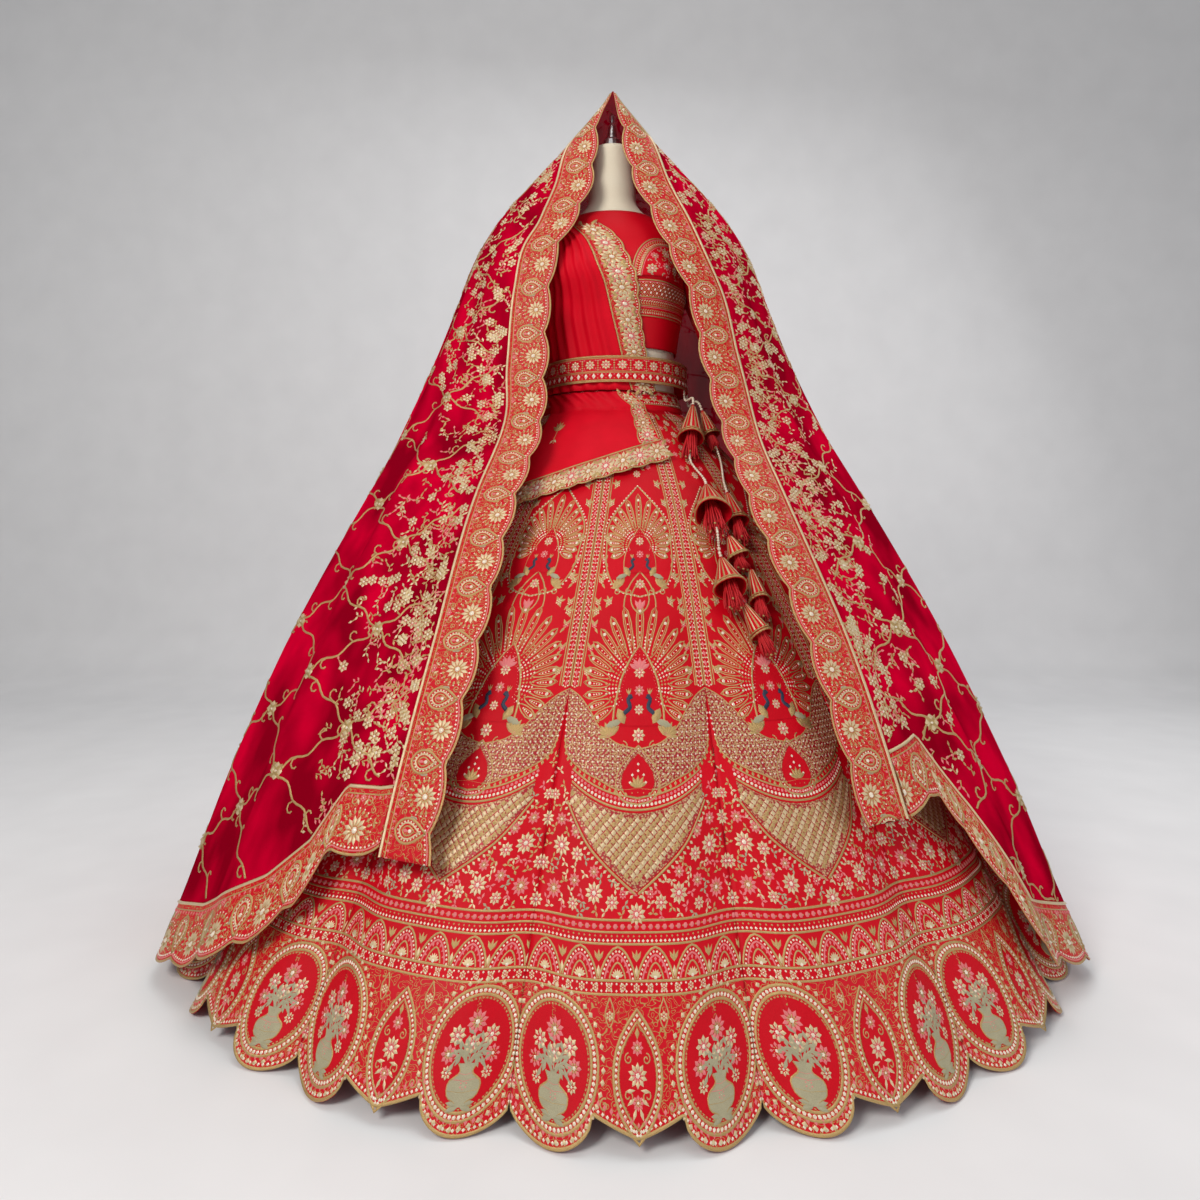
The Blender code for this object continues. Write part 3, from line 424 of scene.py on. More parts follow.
# The needlework is charted flat, in metres across and up, and laid on the cloth in relief:
# couched zari cords, pearls, sequin petals and grounds filled with fine beads.
zari = Paint("zari_thread", metallic=0.55)
zari_twist = zari.noise(1500.0, 1.0)
zari.set(base_color=zari.blend(zari_twist, (0.27, 0.155, 0.045), (0.68, 0.47, 0.20)),
         roughness=0.26 + zari_twist * 0.24, normal=zari.bump(zari_twist, 0.0008, 0.7))
pearl = Paint("pearl_beads", coat_weight=0.5, coat_roughness=0.1)
pearl_tone = pearl.noise(260.0, 1.0)
pearl.set(base_color=pearl.blend(pearl_tone, (0.56, 0.43, 0.28), (0.94, 0.86, 0.72)),
          roughness=0.14 + pearl_tone * 0.2)


def silk(name, dark, light, roughness=0.5, **plain):
    """Stitched silk: fine threads that vary in tone."""
    made = Paint(name, **plain)
    thread, cloud = made.noise(1300.0, 1.0), made.noise(60.0)
    made.set(base_color=made.blend(thread * 0.6 + cloud * 0.4, dark, light),
             roughness=roughness - 0.1 + thread * 0.2, normal=made.bump(thread, 0.0006, 0.6))
    return made


pink = silk("pink_silk", (0.50, 0.060, 0.075), (0.86, 0.27, 0.26))
sage = silk("sage_silk", (0.20, 0.18, 0.10), (0.50, 0.45, 0.29))
cream = silk("cream_sequins", (0.38, 0.26, 0.12), (0.84, 0.68, 0.43), 0.34, metallic=0.3)
navy = silk("navy_silk", (0.005, 0.008, 0.022), (0.018, 0.030, 0.075))
ground_red = silk("red_ground", (0.42, 0.0, 0.005), (0.64, 0.0, 0.012), 0.5, specular_ior_level=0.14)
fill = Paint("bead_ground", roughness=0.45, metallic=0.2)
fill_bead = fill.node("ShaderNodeTexVoronoi", {"feature": "F1"}, Vector=fill.spot(), Scale=330.0)
fill_patch = fill.noise(45.0, 3.0)
fill_dot = fill.node("ShaderNodeMapRange", None, fill_bead, 0.35, 0.62, 1.0, 0.0)
fill.set(
    base_color=fill.blend(fill_dot, (0.36, 0.004, 0.012),
                          fill.blend(fill_patch, (0.44, 0.25, 0.10), (0.70, 0.42, 0.24))),
    normal=fill.bump(fill_dot, 0.0012, 0.8),
)
scroll = Paint("scroll_ground", roughness=0.5, specular_ior_level=0.2)
scroll_way = scroll.noise(120.0, 0.6)
scroll_cord = (abs(scroll_way - 0.46) < 0.018) + (abs(scroll_way - 0.60) < 0.013)
scroll.set(base_color=scroll.blend(scroll_cord, (0.54, 0.0, 0.010), (0.44, 0.25, 0.08)),
           normal=scroll.bump(scroll_cord, 0.0008, 0.6))
SEED_BEAD, ROUND_BEAD, SHORT_PETAL, LARGE_FLOWER = 0.0022, 0.0030, 0.0135, 0.0065
THREADS = (zari, pearl, pink, sage, cream, navy, fill, ground_red, scroll)
ZARI, PEARL, PINK, SAGE, CREAM, NAVY, FILL, RED, SCROLL = range(9)


def strips(a, n):
    """Two triangles for each cell of a grid in rows of n corners, from the cells' first corners."""
    return np.concatenate([np.stack([a, a + n, a + n + 1], 1), np.stack([a, a + n + 1, a + 1], 1)])


class Needlework:
    """Stitches on a flat chart: their corners across, up and off the cloth, in triangles."""

    def __init__(self):
        self.corners, self.faces, self.paints, self.count, self.base = [], [], [], 0, 0.0

    def lay(self, corners, faces, paint):
        """Adds a shape in one thread, raised by what it is sewn on."""
        corners, faces = np.asarray(corners, float).reshape(-1, 3), np.asarray(faces, int).reshape(-1, 3)
        self.corners.append(corners + (0, 0, self.base))
        self.faces.append(faces + self.count)
        self.paints.append(np.full(len(faces), paint, np.int32))
        self.count += len(corners)

    def stamp(self, shape, faces, places, turns, sizes, paint):
        """Copies a small shape to many places, each turned and sized."""
        places, shape = np.atleast_2d(np.asarray(places, float)), np.asarray(shape, float)
        count = max(len(places), np.size(turns))
        places, turns = np.broadcast_to(places, (count, 2)), np.broadcast_to(turns, count)
        c, s = np.cos(turns)[:, None], np.sin(turns)[:, None]
        x, y, h = shape[None, :, 0] * sizes[0], shape[None, :, 1] * sizes[1], shape[None, :, 2] * sizes[2]
        corners = np.stack([places[:, :1] + x * c + y * s, places[:, 1:] - x * s + y * c, h + 0 * x * c],
                           axis=-1)
        step = np.arange(count)[:, None, None] * len(shape)
        self.lay(corners, np.asarray(faces)[None] + step, paint)

    def beads(self, places, radius, paint=PEARL, sides=6):
        """Round beads or sequins as low domes, the smaller the plainer."""
        sides = min(sides, 4 if radius < SEED_BEAD else 5 if radius < ROUND_BEAD else 8)
        ring = [(cos(tau * j / sides), sin(tau * j / sides), 0.0) for j in range(sides)]
        faces = [(j, (j + 1) % sides, sides) for j in range(sides)]
        self.stamp([*ring, (0, 0, 1)], faces, places, 0.0, (radius, radius, radius * 0.9), paint)

    def petals(self, places, turns, length, width, paint=ZARI):
        """Satin-stitched petals or leaves from their foot, pointing up at turn 0."""
        shape = [(0, 0, 0), (0.42, 0.28, 0), (0.46, 0.66, 0), (0, 1, 0), (-0.46, 0.66, 0), (-0.42, 0.28, 0),
                 (0, 0.30, 1), (0, 0.70, 1)]
        faces = [(0, 1, 6), (1, 7, 6), (1, 2, 7), (2, 3, 7), (3, 4, 7), (4, 5, 7), (5, 6, 7), (5, 0, 6)]
        if length < SHORT_PETAL:
            shape = [(0, 0, 0), (0.46, 0.52, 0), (0, 1, 0), (-0.46, 0.52, 0), (0, 0.50, 1)]
            faces = [(0, 1, 4), (1, 2, 4), (2, 3, 4), (3, 0, 4)]
        self.stamp(shape, faces, places, turns, (width, length, width * 0.34), paint)

    def line(self, points, width, paint=ZARI, closed=False, height=0.5):
        """A couched cord along a route, raised in its middle."""
        points = np.asarray(points, float)
        if closed:
            points = np.vstack([points, points[:1]])
        if len(points) < 2:
            return
        way = np.gradient(points, axis=0)
        if closed:
            way[0] = way[-1] = points[1] - points[-2]
        way /= np.maximum(np.linalg.norm(way, axis=1), 1e-9)[:, None]
        side = np.stack([-way[:, 1], way[:, 0]], axis=1) * width / 2
        flat = np.zeros((len(points), 1))
        corners = np.concatenate([np.hstack([points + side, flat]), np.hstack([points, flat + width * height]),
                                  np.hstack([points - side, flat])])
        n = len(points)
        self.lay(corners, strips(np.concatenate([np.arange(n - 1), np.arange(n - 1) + n]), n), paint)

    def level(self, first, last, z, width, paint=ZARI, count=2, height=0.5):
        """A couched cord straight across the chart at one height."""
        self.line(np.stack([np.linspace(first, last, count), np.full(count, z)], 1), width, paint, height=height)

    def ground(self, one, two, paint=FILL, lift=0.0007, rows=3):
        """A filled ground between two routes with as many points each."""
        one, two = np.asarray(one, float), np.asarray(two, float)
        n = len(one)
        grid = np.concatenate([one + (two - one) * r / (rows - 1) for r in range(rows)])
        i, j = np.meshgrid(np.arange(rows - 1), np.arange(n - 1), indexing="ij")
        self.lay(np.hstack([grid, np.full((len(grid), 1), lift)]), strips((i * n + j).ravel(), n), paint)

    def flower(self, x, z, radius, petals=8, paint=CREAM, inner=ZARI, heart=PEARL, turn=0.0):
        """A flower of petals round a beaded heart, with an inner ring if it is large."""
        turns = turn + tau * np.arange(petals) / petals
        way = np.stack([np.sin(turns), np.cos(turns)], 1)
        self.petals((x, z) + way * radius * 0.28, turns, radius * 0.74, radius * 4.4 / petals, paint)
        if radius > LARGE_FLOWER:
            self.petals((x, z) + way * radius * 0.16, turns + pi / petals, radius * 0.42, radius * 2.2 / petals,
                        inner)
        self.beads([(x, z)], radius * 0.24, heart)

    def curl(self, x, z, radius, turn=0.0, hand=1, width=0.0016, paint=ZARI, rounds=1.25):
        """A scroll that winds in to its middle from a given side."""
        t = np.linspace(0, 1, int(10 * rounds) + 3)
        a = turn + hand * tau * rounds * t
        r = radius * (1 - 0.82 * t)
        self.line(np.stack([x + np.sin(a) * r, z + np.cos(a) * r], 1), width, paint)


def paced(points, pitch, closed=False):
    """Places one pitch apart along a route."""
    points = np.asarray(points, float)
    if closed:
        points = np.vstack([points, points[:1]])
    run = np.concatenate(([0], np.cumsum(np.linalg.norm(np.diff(points, axis=0), axis=1))))
    count = max(2, int(round(run[-1] / pitch)) + (0 if closed else 1))
    at = np.linspace(0, run[-1], count, endpoint=not closed)
    return np.stack([np.interp(at, run, points[:, 0]), np.interp(at, run, points[:, 1])], 1)


def rounded(points, count):
    """Even points along a smooth curve through the given ones."""
    points = np.asarray(points, float)
    run = np.concatenate(([0], np.cumsum(np.linalg.norm(np.diff(points, axis=0), axis=1))))
    slopes = np.gradient(points, run, axis=0)
    at = np.linspace(0, run[-1], count)
    i = np.clip(np.searchsorted(run, at, side="right") - 1, 0, len(run) - 2)
    span = (run[i + 1] - run[i])[:, None]
    s = (at - run[i])[:, None] / span
    return ((2 * s**3 - 3 * s**2 + 1) * points[i] + (s**3 - 2 * s**2 + s) * span * slopes[i]
            + (3 * s**2 - 2 * s**3) * points[i + 1] + (s**3 - s**2) * span * slopes[i + 1])


def mirrored(points, hand):
    """The points as they are at the right, or turned over to the left."""
    return np.asarray(points, float) * (hand, 1)


def leaf_outline(x, z, turn, length, width, count=12):
    """A closed leaf-shaped loop from its foot."""
    t = np.linspace(0, tau, count, endpoint=False)
    across, up = np.sin(t) * width / 2 * (0.75 - 0.25 * np.cos(t)), (1 - np.cos(t)) / 2 * length
    return np.stack([x + across * cos(turn) + up * sin(turn), z - across * sin(turn) + up * cos(turn)], 1)


def oval(x, z, side, tall, count=48):
    """A closed oval from its top over the right."""
    t = np.linspace(0, tau, count, endpoint=False)
    return np.stack([x + np.sin(t) * side, z + np.cos(t) * tall], 1)


def arch(x, low, side, tall, count=13):
    """A pointed arch from its left foot over its crown to its right foot."""
    t = np.linspace(-1, 1, count)
    across = np.sin(t * pi / 2)
    return np.stack([x + across * side, low + tall * (1 - np.abs(across) ** 1.7) ** 0.75], 1)


def work_piece(name, work, place, nodes=()):
    """One mesh of all the stitches of a chart, laid where place(across, up, off) says."""
    corners, faces = np.concatenate(work.corners), np.concatenate(work.faces)
    mesh = bpy.data.meshes.new(name)
    mesh.vertices.add(len(corners))
    mesh.vertices.foreach_set("co", place(*corners.T).astype(np.float32).ravel())
    mesh.loops.add(faces.size)
    mesh.loops.foreach_set("vertex_index", faces.astype(np.int32).ravel())
    mesh.polygons.add(len(faces))
    mesh.polygons.foreach_set("loop_start", np.arange(0, faces.size, 3, dtype=np.int32))
    used, index = np.unique(np.concatenate(work.paints), return_inverse=True)
    for paint in used:
        mesh.materials.append(THREADS[paint].material)
    mesh.polygons.foreach_set("material_index", index.astype(np.int32))
    mesh.update(calc_edges=True)
    mesh.shade_smooth()
    made = bpy.data.objects.new(name, mesh)
    bpy.context.scene.collection.objects.link(made)
    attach(made, "root")
    if nodes:
        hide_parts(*nodes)
    return made


# The skirt's needlework, charted on one panel: birds under feather fans, a field of beads, a
# woven gold triangle in flowers, a row of arches, and oval and pointed medallions at the hem.
def right_half(rows, count):
    """The right half of a symmetric outline given as (z, half width) rows, from its apex down."""
    return rounded([(half, z) for z, half in rows], count)


def outline(rows, count=40):
    """A closed symmetric outline through (z, half width) rows, from its apex down the right."""
    right = right_half(rows, count)
    return np.vstack([right, (right * (-1, 1))[-2:0:-1]])


def drawn_in(rows, middle, share):
    """An outline's rows drawn in towards its middle height."""
    return [(middle + (z - middle) * share, half * share) for z, half in rows]


def named(table):
    """The rows of a table whose first row holds the names of its columns."""
    return [dict(zip(table[0], row)) for row in table[1:]]


def inside(rows, x, z):
    """Whether places lie within a symmetric outline."""
    z_rows, halves = np.array(rows[::-1]).T
    return (np.abs(x) < np.interp(z, z_rows, halves)) & (z > z_rows[0]) & (z < z_rows[-1])


def feathers(work, z, reach, spread, count, wide, core):
    """A fan of looped feathers round a foot, with a stone at each tip and beads down the middle."""
    for a in np.linspace(-spread, spread, count):
        length = np.interp(abs(a), reach[0], reach[1])
        way = np.array((sin(a), cos(a)))
        foot = np.array((0.0, z)) + way * core
        work.line(leaf_outline(*foot, a, length - core, wide, 10), 0.0017, ZARI, closed=True)
        inner = leaf_outline(*(foot + way * core * 0.2), a, (length - core) * 0.84, wide * 0.56, 8)
        work.line(inner, 0.0013, ZARI, closed=True)
        work.beads([foot + way * (length - core) * 0.82], 0.0026, PEARL)
        run = np.arange(0.3, 0.72, 0.11)[:, None] * (length - core)
        work.beads(foot + way * run, 0.0013, PEARL, 5)


def bird(work, hand, x, z, size):
    """A small bird that faces the middle: oval body, navy neck, crest and trailing wing."""
    work.petals([(hand * (x + size * 0.15), z - size * 0.15)], hand * 0.5, size * 1.0, size * 0.62, ZARI)
    work.petals([(hand * (x + size * 0.30), z + size * 0.05)], hand * 1.9, size * 1.2, size * 0.42, SAGE)
    neck = rounded([(x + size * 0.2, z + size * 0.45), (x - size * 0.18, z + size * 0.8),
                    (x - size * 0.05, z + size * 1.3), (x - size * 0.32, z + size * 1.45)], 9)
    work.line(mirrored(neck, hand), size * 0.26, NAVY, height=0.5)
    work.beads([(hand * (x - size * 0.16), z + size * 1.42)], size * 0.16, NAVY)
    for a in (-0.3, 0.1, 0.5):
        work.petals([(hand * (x - size * 0.1), z + size * 1.5)], hand * a, size * 0.45, size * 0.10, ZARI)


ON_GROUND, ON_MEDALLION = 0.0004, 0.0010
HEM_POINTS, HEM_TOP = 79, 0.139
OVAL_X, OVAL_Z = 0.101, 0.0755
OVAL_GROUND, OVAL_MIDDLE = (0.0425, 0.0490), (0.0005, 0.0005)
OVAL_CORDS = ((0.0545, 0.0605), (0.0465, 0.0530))
OVAL_PEARLS, OVAL_GOLD, OVAL_RAYS = (0.0505, 0.0568), (0.0430, 0.0496), (0.0578, 0.0638)
VASE = ((0.0105, 0.066), (0.0065, 0.059), (0.0180, 0.048), (0.0155, 0.037), (0.0055, 0.0315), (0.0125, 0.028))
VASE_BANDS = ((0.0575, 0.008, PINK), (0.052, 0.014, PINK), (0.042, 0.017, ZARI))
STEM_FOOT = 0.061
BOUQUET = (
    ("lean", "run", "radius", "petals", "paint"),
    (0, 0.050, 0.0118, 10, PINK), (-0.58, 0.042, 0.0100, 8, CREAM), (0.58, 0.042, 0.0100, 8, CREAM),
    (-1.12, 0.033, 0.0092, 8, PINK), (1.12, 0.033, 0.0092, 8, PINK), (0, 0.026, 0.0092, 8, CREAM),
    (-1.75, 0.027, 0.0064, 8, CREAM), (1.75, 0.027, 0.0064, 8, CREAM),
)
POINT_Z = 0.070
POINT = ((0.127, 0.0), (0.112, 0.013), (0.092, 0.0245), (0.068, 0.0285), (0.046, 0.0245), (0.028, 0.014), (0.014, 0.0))
HANGING_DROP = ((0.033, 0.137), (0.0385, 0.122), (0.033, 0.110), (0.0275, 0.122), (0.033, 0.137))


def stitch_oval(work, x):
    """An oval ringed with gold cords and pearls, round a vase with a bouquet."""
    work.ground(oval(x, OVAL_Z, *OVAL_GROUND), oval(x, OVAL_Z, *OVAL_MIDDLE), RED, 0.0006)
    work.line(oval(x, OVAL_Z, *OVAL_CORDS[0]), 0.0030, ZARI, closed=True)
    work.beads(paced(oval(x, OVAL_Z, *OVAL_PEARLS, 96), 0.0052, True), 0.0022, PEARL)
    work.line(oval(x, OVAL_Z, *OVAL_CORDS[1]), 0.0030, ZARI, closed=True)
    work.beads(paced(oval(x, OVAL_Z, *OVAL_GOLD, 96), 0.0044, True), 0.0014, ZARI, 5)
    rays = paced(oval(x, OVAL_Z, *OVAL_RAYS, 96), 0.0098, True)
    work.petals(rays, np.arctan2(rays[:, 0] - x, rays[:, 1] - OVAL_Z), 0.0056, 0.0070, CREAM)
    work.base = ON_MEDALLION
    vase = rounded(VASE, 14)
    work.ground(vase + (x, 0), vase * (-1, 1) + (x, 0), SAGE, 0.0008)
    for hand in (-1, 1):
        work.line(vase * (hand, 1) + (x, 0), 0.0022)
    for z, half, paint in VASE_BANDS:
        work.line([(x - half, z), (x, z - 0.0016), (x + half, z)], 0.0020, paint)
    work.flower(x, 0.0468, 0.0052, 6, PINK)
    for bloom in named(BOUQUET):
        lean, run, paint = bloom["lean"], bloom["run"], bloom["paint"]
        top = np.array((x + sin(lean) * run * 0.86, STEM_FOOT + cos(lean) * run * 0.84))
        stem = rounded([(x, STEM_FOOT + 0.001), (x + sin(lean) * run * 0.35, STEM_FOOT + run * 0.45), top], 8)
        work.line(stem, 0.0018, SAGE)
        work.petals(stem[2:6], lean + np.array((1, -1, 1, -1)) * 0.9, 0.0115, 0.0050, SAGE)
        work.flower(*top, bloom["radius"], bloom["petals"], paint, ZARI if paint == PINK else PINK)
    work.petals([(x, 0.029)], (-1.9, -1.4, 1.4, 1.9), 0.0160, 0.0056, SAGE)
    work.base = ON_GROUND


def stitch_hem(work):
    """The scalloped hem with its ovals and pointed medallion, up to the floweret band."""
    shares = np.linspace(0.004, 0.996, HEM_POINTS)
    hem = np.stack([(shares - 0.5) * KALI_WIDTH, hem_height(shares)], 1)
    top = np.stack([hem[:, 0], np.full(HEM_POINTS, HEM_TOP)], 1)
    work.ground(hem + (0, 0.001), top, SCROLL, ON_GROUND, 6)
    work.base = ON_GROUND
    work.line(hem + (0, 0.0016), 0.0034, ZARI, height=0.6)
    work.beads(paced(hem + (0, 0.0062), 0.0058), 0.0019, PEARL)
    work.petals(paced(hem + (0, 0.0095), 0.0082), 0.0, 0.0062, 0.0046, PINK)
    for x in (-OVAL_X, OVAL_X):
        stitch_oval(work, x)
    for share, width in ((1.0, 0.0030), (0.80, 0.0022)):
        work.line(outline(drawn_in(POINT, POINT_Z, share), 22), width, closed=True)
    work.beads(paced(outline(drawn_in(POINT, POINT_Z, 0.9)), 0.0050, True), 0.0019, PEARL)
    inner = right_half(drawn_in(POINT, POINT_Z, 0.74), 20)
    work.ground(inner, inner * (-1, 1), RED, 0.0006)
    work.base = ON_MEDALLION
    work.flower(0, POINT_Z, 0.0112, 10, CREAM, PINK)
    work.flower(0, 0.0935, 0.0072, 8, PINK)
    work.flower(0, 0.0475, 0.0068, 8, PINK)
    work.petals([(0, 0.1005)], 0.0, 0.011, 0.006, ZARI)
    for hand in (-1, 1):
        work.curl(hand * 0.0105, 0.084, 0.0052, 0, hand, 0.0013)
        work.curl(hand * 0.0115, 0.053, 0.0062, pi, hand, 0.0014)
        leaves = mirrored([(0.003, 0.058), (0.003, 0.052), (0.002, 0.044)], hand)
        work.petals(leaves, hand * np.array((1.7, 2.2, 2.8)), 0.012, 0.0042, CREAM)
        work.base = ON_GROUND
        work.line(mirrored(rounded(HANGING_DROP, 14), hand), 0.0016)
        work.flower(hand * 0.033, 0.1205, 0.0048, 6, CREAM)
        work.curl(hand * 0.0395, 0.0445, 0.0060, 0.4, hand, 0.0016)
        work.flower(hand * 0.154, 0.112, 0.0055, 6, CREAM)
        work.flower(hand * 0.1535, 0.048, 0.0058, 6, PINK)
        work.base = ON_MEDALLION


BAND_CORDS = ((0.1395, 0.0026), (0.1525, 0.0026), (0.1870, 0.0024), (0.1985, 0.0022), (0.2105, 0.0026))
BAND_BEADS = (
    (0.1428, 0.0062, 0.0014, PEARL), (0.1494, 0.0062, 0.0014, PEARL), (0.1904, 0.0056, 0.0018, PEARL),
    (0.2040, 0.0090, 0.0030, PINK), (0.2040, 0.0045, 0.0011, ZARI), (0.1948, 0.0070, 0.0013, ZARI),
)
ARCH_COUNT, ARCH_FOOT = 6, 0.1545
ARCH_CORDS = ((0.0225, 0.0300, 0.0024, ZARI), (0.0160, 0.0225, 0.0020, PINK), (0.0098, 0.0150, 0.0018, ZARI))
ARCH_PEARLS = (0.0192, 0.0262)


def stitch_bands(work):
    """Bead lines, the floweret band and the row of arches."""
    work.base = 0.0
    for z, width in BAND_CORDS:
        half = float(kali_half(z))
        work.level(-half, half, z, width, count=25)
    for z, pitch, radius, paint in BAND_BEADS:
        half = float(kali_half(z)) - 0.002
        work.beads(paced([(-half, z), (half, z)], pitch), radius, paint)
    half = float(kali_half(0.15)) - 0.008
    for x in np.linspace(-half, half, 17):
        work.flower(x, 0.1461, 0.0042, 6, CREAM)
    pitch = 2 * float(kali_half(0.165)) / ARCH_COUNT
    for i in range(ARCH_COUNT):
        x = (i - (ARCH_COUNT - 1) / 2) * pitch
        for side, tall, width, paint in ARCH_CORDS:
            work.line(arch(x, ARCH_FOOT, side, tall), width, paint)
        work.beads(paced(arch(x, ARCH_FOOT, *ARCH_PEARLS), 0.0046), 0.0015, PEARL, 5)
        fan = np.linspace(-1.25, 1.25, 7)
        work.petals([(x, 0.1555)], fan, 0.0085, 0.0034, CREAM)
        spots = np.stack([x + np.sin(fan) * 0.0112, 0.1555 + np.cos(fan) * 0.0150], 1)
        work.petals(spots, fan, 0.0052, 0.0036, PINK)
        work.beads([(x, 0.1560)], 0.0024)
        for a in (-0.5, 0, 0.5):
            work.petals([(x + pitch / 2, 0.1700)], a, 0.0120, 0.0042, ZARI)
        work.petals([(x + pitch / 2, 0.1560)], 0.0, 0.0110, 0.0050, CREAM)


WEAVE = ((0.336, 0.097), (0.318, 0.086), (0.290, 0.0655), (0.267, 0.039), (0.250, 0.016), (0.239, 0.0))
ARC_BEND, ARC_Z, ARC_HALF = 3.4, 0.3270, 0.094
ARC_CORDS = ((0, 0.0026), (0.0150, 0.0022), (-0.0045, 0.0016))
ARC_BEADS = ((0.0052, 0.0058, 0.0022, PEARL), (0.0105, 0.0058, 0.0022, PINK))
TILE_PITCH, TILE_SIZE = 0.0092, 0.86
TILE = ((0, -0.5, 0), (0.5, 0, 0), (0, 0.5, 0), (-0.5, 0, 0), (0, 0, 0.34))
FLOWERS = (
    ("x", "z", "radius", "paint"),
    (0.104, 0.283, 0.0125, CREAM), (0.056, 0.237, 0.0120, CREAM), (0.0, 0.2165, 0.0118, CREAM),
    (0.081, 0.276, 0.0088, CREAM), (0.032, 0.228, 0.0088, CREAM), (0.085, 0.300, 0.0070, PINK),
    (0.112, 0.236, 0.0110, PINK), (0.083, 0.248, 0.0080, PINK), (0.057, 0.259, 0.0072, PINK),
    (0.128, 0.312, 0.0105, CREAM), (0.129, 0.262, 0.0090, CREAM), (0.106, 0.312, 0.0080, PINK),
    (0.118, 0.340, 0.0075, CREAM), (0.126, 0.366, 0.0085, PINK), (0.127, 0.390, 0.0060, CREAM),
    (0.084, 0.224, 0.0075, CREAM), (0.018, 0.2365, 0.0052, PINK), (0.136, 0.222, 0.0085, CREAM),
    (0.139, 0.288, 0.0070, PINK),
)
SPRIG_TRIES, SPRIG_LIMIT = 2600, 190


def arc(x, z):
    """The height of the arcs over the woven triangle, for the one that is at z in the middle."""
    return z + ARC_BEND * x**2


def stitch_field(work):
    """Flowers and leaves on red round the woven triangle, under a band of three arcs."""
    z_rows, halves = np.array(WEAVE[::-1]).T
    span = np.linspace(-0.095, 0.095, 41)
    low, top = np.interp(np.abs(span), halves, z_rows), arc(span, 0.3235)
    work.ground(np.stack([span, top], 1), np.stack([span, low], 1), FILL, 0.0006, 4)
    work.base = ON_GROUND
    i, j = np.meshgrid(np.arange(-26, 27), np.arange(0, 28))
    x, z = (i + j % 2 * 0.5) * TILE_PITCH, 0.242 + j * TILE_PITCH * 0.5
    keep = (z > np.interp(np.abs(x), halves, z_rows) + 0.006) & (z < arc(x, 0.3190)) & (np.abs(x) < 0.0935)
    faces = [(0, 1, 4), (1, 2, 4), (2, 3, 4), (3, 0, 4)]
    spots = np.stack([x[keep], z[keep]], 1)
    odd = ((i + j // 2) % 2)[keep] == 0
    work.stamp(TILE, faces, spots[~odd], 0.0, (TILE_PITCH * TILE_SIZE,) * 3, ZARI)
    work.stamp(TILE, faces, spots[odd], 0.0, (TILE_PITCH * TILE_SIZE,) * 3, CREAM)
    for hand in (-1, 1):
        edge = mirrored(rounded([(half + 0.0022, z - 0.002) for z, half in WEAVE], 26), hand)
        work.line(edge, 0.0028)
        work.petals(paced(edge + (hand * 0.002, -0.001), 0.0074), hand * 2.2, 0.0062, 0.0040, CREAM)
    work.base = 0.0
    across = np.linspace(-ARC_HALF, ARC_HALF, 33)
    for step, width in ARC_CORDS:
        work.line(np.stack([across, arc(across, ARC_Z) + step], 1), width)
    for step, pitch, radius, paint in ARC_BEADS:
        work.beads(paced(np.stack([across, arc(across, ARC_Z) + step], 1), pitch), radius, paint)
    taken = []
    for bloom in named(FLOWERS):
        for hand in (-1, 1) if bloom["x"] else (1,):
            petals = 10 if bloom["radius"] > 0.0095 else 8
            inner = PINK if bloom["paint"] == CREAM else ZARI
            work.flower(hand * bloom["x"], bloom["z"], bloom["radius"], petals, bloom["paint"], inner)
            taken.append((hand * bloom["x"], bloom["z"], bloom["radius"]))
    taken = np.array(taken)
    chance = np.random.default_rng(14)
    placed = 0
    for _ in range(SPRIG_TRIES):
        x, z = chance.uniform(-0.155, 0.155), chance.uniform(0.214, 0.398)
        free = np.hypot(x - taken[:, 0], z - taken[:, 1]) > taken[:, 2] + 0.0042
        top = 0.340 + 0.42 * max(0.0, abs(x) - 0.075)
        if not free.all() or abs(x) > kali_half(z) - 0.003 or z > (0.40 if abs(x) > 0.112 else top):
            continue
        if z > 0.236 and inside(WEAVE, np.array(abs(x) - 0.009), np.array(z + 0.004)):
            continue
        if abs(x) < 0.1 and z > arc(x, 0.312):
            continue
        a = chance.uniform(0, tau)
        paint = (CREAM, ZARI, SAGE, PINK, CREAM, ZARI)[placed % 6]
        work.petals([(x, z)], a + np.array((-0.75, 0.75, 2.4)), 0.0068, 0.0034, paint)
        taken = np.vstack([taken, (x, z, 0.0034)])
        placed += 1
        if placed > SPRIG_LIMIT:
            break


DROP_Z = 0.368
DROP = ((0.403, 0.0), (0.390, 0.014), (0.368, 0.0295), (0.350, 0.0305), (0.338, 0.020), (0.333, 0.0))
BEAD_FIELD_LOW = ((0.0, 0.352), (0.030, 0.3515), (0.055, 0.362), (0.080, 0.372), (0.105, 0.392))
BEAD_FIELD_HIGH = ((0.0, 0.398), (0.036, 0.408), (0.058, 0.426), (0.074, 0.448), (0.092, 0.466))
BEAD_STEP, BEAD_ROW, FIELD_BEAD = 0.0072, 0.0036, 0.0021


